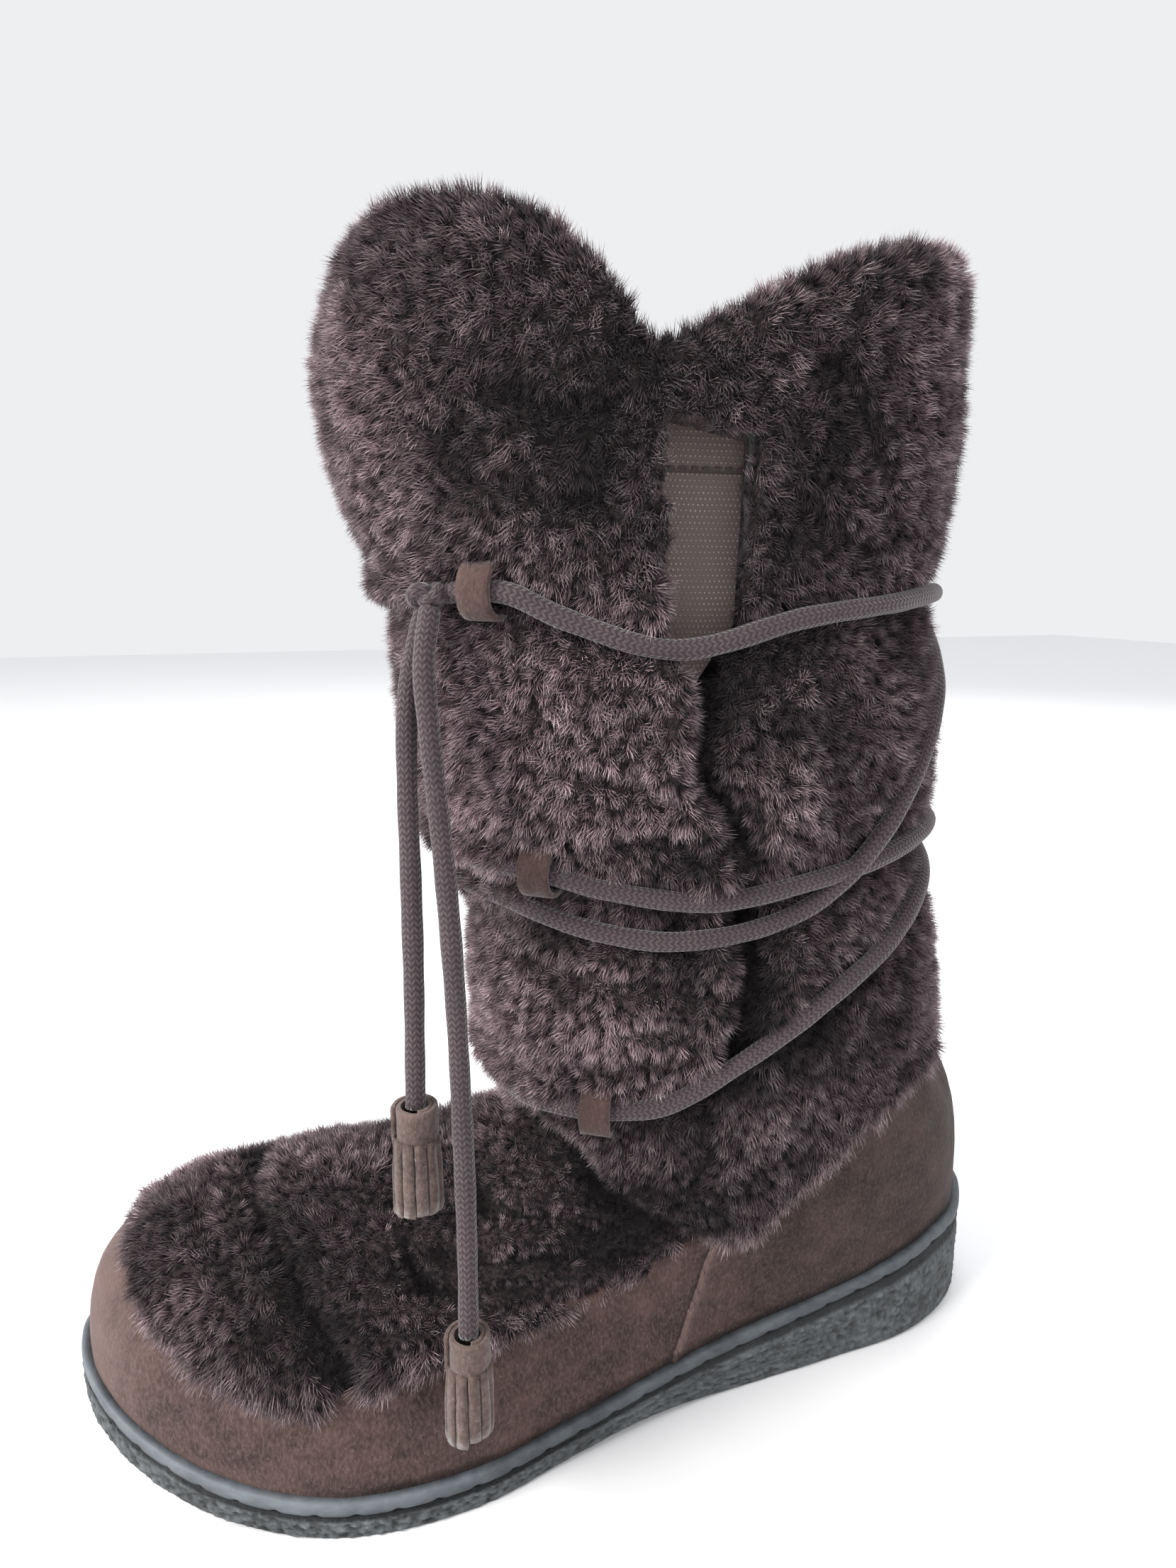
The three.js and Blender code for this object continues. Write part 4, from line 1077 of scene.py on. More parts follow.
@dataclass
class PileUpper:
    """Pile shaft and vamp: a ground with creases, and tufts on it. Sizes in millimetres."""

    root_depth: float = 3.0
    voxel: float = 2.2
    snap: float = 2.3
    shaft_top: float = 317
    shaft_middle: float = 22.0
    rounds: int = 3
    collar_inset: float = 0.6
    hem_lift: float = 0.3
    zone_tops: tuple[float, ...] = (84, 140, 190, 240)
    lining: float = 2.0
    tuft_length: float = 4.9
    tuft_width: float = 0.33
    blades: int = 6
    blade_turn: float = 2.399963
    blade_root: float = 0.35
    stray: float = 0.55
    spacing: float = 0.57
    per_square: float = 1.5
    clump: float = 3.1
    pull: float = 0.17
    fill: float = 1.0
    close: float = 2.6
    cover: float = 5.5
    lace_depth: float = 4.0
    rim_round: float = 2.0
    rib: float = 0.7
    rib_pitch: float = 5.5
    gore: tuple[tuple[float, float], ...] = ((4, 263), (25, 259), (25, 219), (16, 205), (9, 214))

    def skin(self) -> tuple[Points, Faces]:
        """Skin of the pile's ground between its lower edge and the collar."""
        foot = foot_solid(LAST.vamp_pile - self.root_depth)
        shaft = shaft_solid(lambda degrees, z: LAST.pile_depth(degrees, z) - self.root_depth,
                            self.shaft_top)
        points, faces = union_skin([foot, shaft], self.voxel, self.rounds)
        in_gore = (points[:, 0] > 20) & self.inside_gore(points[:, 1:])
        points, faces = kept(points, faces, (over_hem(points) > 0) & (under_collar(points) > 0) & ~in_gore)
        rim = np.array(sorted(open_edge(faces)))
        collar = COLLAR_LINE(points[rim, 0], points[rim, 1])
        near = np.abs(points[rim, 2] - collar) < self.snap
        points[rim[near], 2] = collar[near] - self.collar_inset
        edge = PILE_LINE(points[rim, 0], points[rim, 1])
        near = np.abs(points[rim, 2] - edge) < self.snap
        points[rim[near], 2] = edge[near] + self.hem_lift
        return points, faces

    def inside_gore(self, places: Points) -> Points:
        """Which places, as y and z, are in the window of the elastic gore."""
        inside = np.zeros(len(places), bool)
        corners = self.gore
        for (y0, z0), (y1, z1) in zip(corners, (*corners[1:], corners[0])):
            crosses = (z0 > places[:, 1]) != (z1 > places[:, 1])
            at = y0 + (places[:, 1] - z0) * (y1 - y0) / (z1 - z0 if z1 != z0 else 1e-9)
            inside ^= crosses & (places[:, 0] < at)
        return inside

    def ribs(self, points: Points) -> Points:
        """Level ripples of the pile on the outer side of the vamp."""
        wander = 3.5 * smooth_noise(points * [1, 1, 0.3], 16, 14)
        wave = np.sin(2 * np.pi * (points[:, 2] + wander) / self.rib_pitch)
        return self.rib * wave * self.brushed(points)

    def brushed(self, points: Points) -> Points:
        """Where the pile of the vamp is brushed flat on the outer side, from 0 to 1."""
        x, y, z = points.T
        share = smooth_step(2, 14, x) * smooth_step(-74, -54, y) * smooth_step(40, 26, y)
        return share * smooth_step(80, 64, z) * smooth_step(4, 9, over_hem(points))

    def beside_lace(self, points: Points) -> Points:
        """How far the pile swells out beside the lace, most where it covers the lace in front."""
        away, over = LAST.lace_offset(points)
        beside = np.sqrt(np.maximum(away**2 - self.lace_depth**2, 0))
        swell = self.fill + self.close * (np.exp(-((beside / 9) ** 2)) - np.exp(-((beside / 4.2) ** 2)))
        front = curve_through([row.z for row in SHAFT_ROWS], [row.front for row in SHAFT_ROWS])
        front = smooth_step(12.5, 6, points[:, 1] - front(points[:, 2])) * smooth_step(88, 100, points[:, 2])
        return swell + self.cover * front * np.exp(-(((over - 4) / 5) ** 2)) * np.exp(-((beside / 9) ** 2))

    def level_at_rim(self, points: Points, normals: Points) -> Points:
        """Normals that point level out of the shaft near the collar."""
        out = (points - [0, self.shaft_middle, 0]) * [1, 1, 0]
        out /= np.linalg.norm(out, axis=1, keepdims=True)
        share = smooth_step(6, 3, under_collar(points))[:, None]
        mixed = normals * (1 - share) + out * share
        return mixed / np.linalg.norm(mixed, axis=1, keepdims=True)

    def comb(self, points: Points, normals: Points) -> Points:
        """Way that the pile lies: down and towards the toe, swirling a little."""
        down = np.array([0.0, -0.35, -1.0]) + np.zeros_like(points)
        flow = down + 1.1 * noise_vectors(points, 22) + 0.7 * noise_vectors(points, 7, (5, 1, 3))
        flow -= normals * (flow * normals).sum(1, keepdims=True)
        flow /= np.maximum(np.linalg.norm(flow, axis=1, keepdims=True), 1e-6)
        lie = 0.45 + 1.2 * smooth_step(9, 2, over_hem(points))
        up = smooth_step(5, 0, under_collar(points))
        comb = normals + flow * lie[:, None]
        comb = comb * (1 - up)[:, None] + (normals * 0.5 + [0, 0, 1.0]) * up[:, None]
        return comb / np.linalg.norm(comb, axis=1, keepdims=True)

    def tone_and_painted_shading(self, points: Points, depth: Points) -> Points:
        """Painted brightness of the pile: random mottling, painted shade in creases and beside the lace,
        painted light on ridges.
        """
        tone_and_painted_shading = 0.85 + 0.55 * smooth_noise(points, 24, 1) + 0.5 * smooth_noise(points, 8, 2)
        tone_and_painted_shading += 0.35 * smooth_noise(points, 3.4, 5)
        # Painted shade in creases and troughs, painted light on ridges.
        tone_and_painted_shading -= 0.22 * np.clip(depth, -1.5, 4)
        # Painted shadow of the lace on the pile beside and under it.
        away, over = LAST.lace_offset(points)
        tone_and_painted_shading -= 0.35 * np.exp(-((away / 7) ** 2)) * smooth_step(4, -1, over)
        # Painted shade patches, and painted light patches where the strength is negative.
        for y, z, reach, strength in SHADES:
            away = ((points[:, 1] - y) ** 2 + (points[:, 2] - z) ** 2) / reach**2
            tone_and_painted_shading -= strength * np.exp(-away) * smooth_step(0, 15, points[:, 0])
        # Painted light along the rolled lower fringe of the pile, from the middle of the foot back.
        fringe = smooth_step(8, 3, over_hem(points)) * smooth_step(-60, -40, points[:, 1])
        return np.clip(np.maximum(tone_and_painted_shading, 0.95 * fringe), 0.05, 1.8)

    def build_ground(self) -> bpy.types.Object:
        """Ground of the pile as a closed shell with the lining on its inside.

        Returns:
            The ground, with the attributes that the tufts follow.
        """
        points, faces = self.skin()
        depth = crease_depth(points)
        normals = self.level_at_rim(points, normals_of(points, faces))
        puffs = 1.0 * smooth_noise(points, 17, 3) + 0.9 * smooth_noise(points, 6, 4)
        rim = under_collar(points)
        swell = puffs + self.beside_lace(points) + self.ribs(points)
        swell = swell - self.rim_round * smooth_step(7, 0, rim)
        outer = points + normals * (swell - depth)[:, None]
        normals = self.level_at_rim(points, normals_of(outer, faces))
        wall = np.where(points[:, 2] > 90, LAST.pile, LAST.vamp_pile) - self.root_depth + self.lining
        shell, shell_faces = walled(outer, faces, wall - np.clip(depth - 1.0, 0, 3), normals)
        ground = mesh_object("pile_ground", shell, shell_faces)
        count = len(outer)
        # Rib troughs get painted shade, rib crests and puffs painted light; points of the lining inside take
        # 0.8 of it.
        tone_and_painted_shading = self.tone_and_painted_shading(points, depth - 1.3 * self.ribs(points) - 0.5 * puffs)
        set_values(ground, "tone_and_painted_shading", np.concatenate([tone_and_painted_shading, tone_and_painted_shading * 0.8]))
        set_values(ground, "pile", np.concatenate([np.ones(count), (rim < 9) * 1.0]))
        streak = self.brushed(points)
        set_values(ground, "streak", np.concatenate([streak, 0 * streak]))
        comb = self.comb(outer, normals)
        inside = np.tile([0.0, 0.0, 1.0], (count, 1)) - 0.6 * normals
        set_vectors(ground, "comb", np.concatenate([comb, inside]))
        length = 1 + 0.35 * smooth_step(8, 2, over_hem(points)) - 0.12 * np.clip(depth, 0, 3)
        length = length - 0.2 * streak
        set_values(ground, "length", np.concatenate([length, np.full(count, 0.7)]))
        zone = np.digitize(points[:, 2], self.zone_tops).astype(float)
        zone = np.where((zone == 0) & (points[:, 1] > 34), 1, zone)
        set_values(ground, "zone", np.concatenate([zone, zone]))
        return ground

    def tuft(self) -> bpy.types.Object:
        """One tuft: narrow blades that spread from a root."""
        points, faces, tips = [], [], []
        for k in range(self.blades):
            angle = self.blade_turn * k
            spread = 0.06 + 0.045 * k
            out = np.array([math.cos(angle), math.sin(angle), 0])
            side = np.array([-math.sin(angle + 0.6 * k), math.cos(angle + 0.6 * k), 0]) * self.tuft_width / 2
            root = out * self.blade_root
            height = self.tuft_length * (1 - 0.05 * k)
            tip = root + out * spread * height + [0, 0, height]
            start = len(points)
            points += [root - side, root + side, tip]
            faces.append((start, start + 1, start + 2))
            tips += [0.0, 0.0, 1.0]
        made = mesh_object("tuft", np.array(points), faces, smooth=False)
        set_values(made, "tip", tips)
        return made

    def tuft_tree(self, tuft: bpy.types.Object, material: bpy.types.Material) -> bpy.types.NodeTree:
        """Geometry Nodes that plant tufts over one zone of the ground.

        Args:
            tuft: Tuft that is planted.
            material: Its finish.

        Returns:
            The node tree, with named inputs.
        """
        tree = bpy.data.node_groups.new("plant_tufts", "GeometryNodeTree")
        sockets = (("Ground", "Geometry"), ("Zone", "Float"), ("Spacing", "Float"),
                   ("Density", "Float"), ("Clump size", "Float"), ("Seed", "Int"))
        for name, kind in sockets:
            tree.interface.new_socket(name=name, in_out="INPUT", socket_type=f"NodeSocket{kind}")
        tree.interface.new_socket(name="Pile", in_out="OUTPUT", socket_type="NodeSocketGeometry")
        graph = Graph(tree)
        inputs = graph.node("NodeGroupInput").socket.node.outputs
        ground, zone, spacing, density, clump, seed = (Term(graph, inputs[i]) for i in range(6))

        def stored(name: str, kind: str = "FLOAT") -> Term:
            """Reads an attribute of the ground."""
            return graph.node("GeometryNodeInputNamedAttribute", {"data_type": kind}, {"Name": name})

        def random(low: float, high: float, shift: int) -> Term:
            """Random number for each tuft."""
            return graph.node("FunctionNodeRandomValue", {"data_type": "FLOAT"},
                              {2: low, 3: high, "Seed": seed + shift}, 1)

        away = stored("zone") - zone
        chosen = away.math("ABSOLUTE", away).math("LESS_THAN", away.math("ABSOLUTE", away), 0.5)
        chosen = chosen * stored("pile")
        planted = graph.node("GeometryNodeDistributePointsOnFaces", {"distribute_method": "POISSON"}, {
            "Mesh": ground, "Distance Min": spacing, "Density Max": density, "Seed": seed,
            "Density Factor": chosen})
        place = graph.node("GeometryNodeInputPosition")
        cell = graph.node("ShaderNodeTexVoronoi", {"voronoi_dimensions": "3D"},
                          {"Vector": place, "Scale": 1 / clump}, "Position")
        apart = graph.node("ShaderNodeTexVoronoi", {"voronoi_dimensions": "3D"},
                           {"Vector": place, "Scale": 1 / clump}, "Distance")
        inward = apart.rise(0.75, 0.25)
        gather = graph.node("ShaderNodeVectorMath", {"operation": "SUBTRACT"}, {0: cell, 1: place})
        pull = graph.node("ShaderNodeVectorMath", {"operation": "SCALE"},
                          {0: gather, "Scale": self.pull / MM})
        stray = graph.node("FunctionNodeRandomValue", {"data_type": "FLOAT_VECTOR"}, {
            0: (-self.stray,) * 3, 1: (self.stray,) * 3, "Seed": seed})
        way = graph.node("ShaderNodeVectorMath", {"operation": "ADD"},
                         {0: stored("comb", "FLOAT_VECTOR"), 1: pull})
        way = graph.node("ShaderNodeVectorMath", {"operation": "ADD"}, {0: way, 1: stray})
        spin = graph.node("ShaderNodeCombineXYZ", {}, {2: random(0, 6.28318, 3)})
        spun = graph.node("FunctionNodeEulerToRotation", {}, {0: spin})
        turned = graph.node("FunctionNodeAlignRotationToVector", {"axis": "Z"},
                            {"Rotation": spun, "Vector": way})
        shape = graph.node("GeometryNodeObjectInfo", {}, {"Object": tuft}, "Geometry")
        size = stored("length") * random(0.75, 1.15, 5) * (0.82 + 0.24 * inward)
        tufts = graph.node("GeometryNodeInstanceOnPoints", {}, {
            "Points": planted, "Instance": shape, "Rotation": turned, "Scale": size})
        # Stored per tuft: half a random share, half painted shade that darkens tufts towards the edges of
        # their clump.
        lot = graph.node("GeometryNodeStoreNamedAttribute",
                         {"data_type": "FLOAT", "domain": "INSTANCE"},
                         {"Geometry": tufts, "Name": "lot",
                          "Value": 0.5 * random(0, 1, 9) + 0.5 * inward})
        real = graph.node("GeometryNodeRealizeInstances", {}, {0: lot})
        dressed = graph.node("GeometryNodeSetMaterial", {}, {"Geometry": real, "Material": material})
        graph.node("NodeGroupOutput", {}, {0: dressed})
        return tree

    def plant(self, ground: bpy.types.Object, tree: bpy.types.NodeTree, name: str,
              zone: int) -> bpy.types.Object:
        """Tufts of one zone as a plain mesh."""
        bed = bpy.data.objects.new("bed", ground.data.copy())
        bpy.context.scene.collection.objects.link(bed)
        planter = bed.modifiers.new("planter", "NODES")
        planter.node_group = tree
        values = {"Zone": float(zone), "Spacing": self.spacing * MM,
                  "Density": self.per_square / MM**2, "Clump size": self.clump * MM, "Seed": zone + 11}
        for item in tree.interface.items_tree:
            if item.item_type == "SOCKET" and item.name in values:
                planter[item.identifier] = values[item.name]
        return baked(bed, name)

    def build(self) -> None:
        """Builds the ground and the tufts of every zone."""
        ground = self.build_ground()
        wear(ground, HIDE.make())
        tuft = self.tuft()
        tree = self.tuft_tree(tuft, PILE.make())
        names = ("pile_vamp", "pile_shaft_low", "pile_shaft_middle", "pile_shaft_upper", "pile_collar")
        for zone, name in enumerate(names):
            seat(self.plant(ground, tree, name, zone), "pile", "upper")
        drop(tuft)
        seat(ground, "pile", "upper")


@dataclass
class SuedeLower:
    """Suede toe panel and heel panel that meet at a slanted side seam. Sizes in millimetres."""

    offset: float = 2.6
    voxel: float = 1.7
    wall: float = 4.4
    tuck: float = 2.0
    hem: float = 2.2
    shaft_top: float = 104
    rounds: int = 8
    seam_foot: float = 14.0
    seam_lean: float = 0.38

    def build(self) -> None:
        """Builds both panels."""
        foot = foot_solid(self.offset)
        shaft = shaft_solid(lambda degrees, z: self.offset, self.shaft_top)
        points, faces = union_skin([foot, shaft], self.voxel, self.rounds)
        low = points[:, 2] - LAST.sole_top(points[:, 1])
        high = PILE_LINE(points[:, 0], points[:, 1]) + self.tuck - points[:, 2]
        points, faces = kept(points, faces, (low > -3.0) & (high > 0))
        hem = np.array(sorted(open_edge(faces)))
        under = points[hem, 2] - LAST.sole_top(points[hem, 1])
        hem = hem[under < 1]
        points[hem, 2] = LAST.sole_top(points[hem, 1]) - self.hem
        behind = points[:, 1] - self.seam_foot - self.seam_lean * points[:, 2]
        material = SUEDE.make()
        for name, side in (("toe_panel", -1), ("heel_panel", 1)):
            self.panel(name, side, points, faces, behind * side, material)

    def panel(self, name: str, side: int, points: Points, faces: Faces, beyond: Points,
              material: bpy.types.Material) -> None:
        """Builds one panel, with its edge drawn to the seam.

        Args:
            name: Name of the piece.
            side: 1 for the heel panel, which lies over the toe panel, and -1 for the toe panel.
            points: Points of the whole skin.
            faces: Its faces.
            beyond: Distance of each point past the seam, on this panel's side.
            material: Suede.
        """
        part, part_faces = kept(points, faces, beyond > -self.voxel * 0.75)
        past = (part[:, 1] - self.seam_foot - self.seam_lean * part[:, 2]) * side
        edge = np.array([i for i in sorted(open_edge(part_faces)) if abs(past[i]) < self.voxel * 1.6])
        part[edge, 1] -= past[edge] * side
        past[edge] = 0
        normals = normals_of(part, part_faces)
        lift = 0.7 * np.exp(-past / 2.2) if side > 0 else -0.5 * np.exp(-past / 1.6)
        soft = 0.35 * smooth_noise(part, 14, 6) + 0.12 * smooth_noise(part, 4, 7)
        shell, shell_faces = walled(part + normals * (lift + soft)[:, None], part_faces,
                                    np.full(len(part), self.wall))
        thing = mesh_object(name, shell, shell_faces)
        toe = smooth_step(-112, -134, part[:, 1]) * 0.6
        worn = toe + (0.9 * np.exp(-past / 1.2) if side > 0 else 0)
        over = part[:, 2] - LAST.sole_top(part[:, 1])
        front = smooth_step(-60, -90, part[:, 1])
        worn = worn + 0.25 * smooth_step(5, 0, over) * front
        # Painted shade: the back of the outer side, a dark band just over the sole behind the toe, and a
        # shadow line beside the seam on the toe panel.
        shade = 0.35 * smooth_step(15, 60, part[:, 1]) * smooth_step(0, 20, part[:, 0])
        shade += 0.6 * smooth_step(3.2, 0.8, over) * (1 - front)
        shade += 0.6 * np.exp(-past / 0.9) * (side < 0)
        set_values(thing, "wear", np.concatenate([np.clip(worn, 0, 1)] * 2))
        set_values(thing, "shade", np.concatenate([np.clip(shade, 0, 0.8)] * 2))
        wear(thing, material)
        seat(thing, "suede", "heel_foxing" if side > 0 else "toe_foxing")


@dataclass
class SoleUnit:
    """Crepe wedge with its smooth rim. Sizes in millimetres."""

    steps: int = 540
    rim_height: float = 4.0
    ledge: float = 9.0
    tread_depth: float = 2.2
    tread_width: float = 3.0
    tread_soft: float = 0.4
    rim_gap: float = 0.6
    tread_pitch: float = 11.0
    forefoot_tread: tuple[float, float] = (-88, -22)
    heel_tread: tuple[float, float] = (62, 117)
    nub: float = 0.55

    def tread(self, y: Points) -> Points:
        """Depth of the cross grooves at each y."""
        depth = np.zeros_like(y)
        for start, end in (self.forefoot_tread, self.heel_tread):
            for centre in np.arange(start, end + 0.5, self.tread_pitch):
                away = np.abs(y - centre) - self.tread_width / 2
                groove = smooth_step(self.tread_soft, -self.tread_soft, away)
                depth = np.maximum(depth, self.tread_depth * groove)
        return depth

    def crepe(self, points: Points) -> Points:
        """Relief of the crepe side: round nubs at the forefoot, flatter ones further back."""
        squashed = points * [1, 1, 1.25]
        nubs = smooth_noise(squashed, 1.7, 8) + 0.5 * smooth_noise(squashed, 0.9, 9)
        wrinkles = 0.6 * smooth_noise(points * [0.4, 0.4, 1.3], 1.5, 10)
        wrinkles = wrinkles + 0.7 * smooth_noise(points * [0.7, 0.7, 1.6], 0.9, 12)
        share = smooth_step(-40, 10, points[:, 1])
        return nubs * (1 - share) + wrinkles * share

    def build_sole(self) -> bpy.types.Object:
        """Side, ledge and tread of the wedge in one closed mesh."""
        turn = np.arange(2 * self.steps) / self.steps
        shares = [0, 0.03, *np.linspace(0.07, 0.83, 18), 0.88, 0.93, 0.97]
        insets = [1.0, 0.4, 0.2, *[0.15] * 16, 0.3, 0.8, 1.3, 1.5]
        rings, high = [], []
        for share, inset in zip(shares, insets):
            edge = LAST.inset(turn, inset)
            ledge = LAST.sole_top(edge[:, 1]) - self.rim_height - self.rim_gap
            bottom = LAST.sole_bottom(edge[:, 1])
            base = bottom + (ledge - bottom) * share
            ring = np.column_stack([edge, base])
            relief = self.crepe(ring) * self.nub * smooth_step(0.0, 0.1, np.array(share))
            relief = relief * smooth_step(1.0, 0.86, np.array(share))
            rings.append(np.column_stack([LAST.inset(turn, inset - relief), base]))
            # Dust on raised nubs; the rows just under the rim get 0.05, painted shade in the groove under
            # it.
            high.append(0.45 + 0.5 * relief / self.nub if share < 0.84 else np.full(len(turn), 0.05))
        for inset, lift in ((self.ledge, 0.0), (self.ledge, self.rim_height + self.rim_gap)):
            edge = LAST.inset(turn, inset)
            base = LAST.sole_top(edge[:, 1]) - self.rim_height - self.rim_gap
            rings.append(np.column_stack([edge, base + lift]))
            high.append(np.full(len(turn), 0.2))
        count = len(turn)
        points = np.concatenate(rings)
        faces = ring_faces(len(rings), count)
        top = (len(rings) - 1) * count
        lanes = 10
        inner = []
        for lane in range(1, lanes):
            share = lane / lanes
            first = rings[0][: self.steps + 1]
            far = rings[0][[(count - k) % count for k in range(self.steps + 1)]]
            line = first * (1 - share) + far * share
            line[:, 2] = LAST.sole_bottom(line[:, 1]) + self.tread(line[:, 1])
            inner.append(line[1:-1])
            high.append(np.full(self.steps - 1, 0.3))
        start = len(points)
        points = np.concatenate([points, *inner])
        width = self.steps - 1

        def bottom(lane: int, k: int) -> int:
            """Number of a point of the tread."""
            if lane == 0 or k in (0, self.steps):
                return k
            if lane == lanes:
                return count - k
            return start + (lane - 1) * width + k - 1

        for lane in range(lanes):
            for k in range(self.steps):
                quad = (bottom(lane, k), bottom(lane + 1, k), bottom(lane + 1, k + 1), bottom(lane, k + 1))
                faces.append(tuple(dict.fromkeys(quad)))
        for k in range(self.steps):
            far = (count - k) % count
            quad = (top + k, top + k + 1, top + count - k - 1, top + far)
            faces.append(tuple(dict.fromkeys(quad)))
        thing = mesh_object("crepe_sole", points, [face for face in faces if len(face) > 2])
        set_values(thing, "high", np.clip(np.concatenate(high), 0, 1))
        return thing

    def build_rim(self) -> bpy.types.Object:
        """Rim strip in the ledge, with a groove and dimples like stitches under its edge."""
        turn = np.arange(2 * self.steps) / self.steps
        length = np.cumsum(np.linalg.norm(np.diff(LAST.outline(np.append(turn, 2)), axis=0), axis=1))
        dimple = np.exp(-((np.mod(length, 10) - 5) / 1.1) ** 2)
        # Rows: inset, lift and paleness; a painted highlight along the rounded top, painted shade in the
        # groove under it and at the inner top edge.
        profile = ((1.5, 0.0, 0.05), (0.5, 0.15, 0.2), (0.1, 0.7, 0.45), (-0.05, 1.6, 0.6), (0.0, 2.6, 0.7),
                   (0.15, 3.4, 0.75), (0.6, 3.9, 0.8), (1.4, 4.0, 0.7), (2.4, 3.9, 0.4), (3.4, 3.75, 0.1),
                   (7.8, 3.8, 0.1), (7.8, 0.0, 0.1))
        rings, high = [], []
        for i, (inset, lift, dust_and_painted_light) in enumerate(profile):
            deep = inset + 0.5 * dimple if i in (1, 2) else np.full(len(turn), inset)
            edge = LAST.inset(turn, deep)
            rings.append(np.column_stack([edge, LAST.sole_top(edge[:, 1]) - self.rim_height + lift]))
            # Painted shade: the rim is darker from the forefoot back towards the heel.
            high.append(dust_and_painted_light * (1 - 0.45 * smooth_step(-75, -20, edge[:, 1])))
        count = len(turn)
        faces = ring_faces(len(rings), count)
        last = (len(rings) - 1) * count
        faces += [(last + k, last + (k + 1) % count, (k + 1) % count, k) for k in range(count)]
        thing = mesh_object("rim_strip", np.concatenate(rings), faces)
        set_values(thing, "high", np.concatenate(high))
        return thing

    def build(self) -> None:
        """Builds and dresses the sole and its rim."""
        sole = self.build_sole()
        wear(sole, CREPE.make())
        seat(sole, "rubber", "outsole")
        rim = self.build_rim()
        wear(rim, RIM.make())
        seat(rim, "rim", "welt")


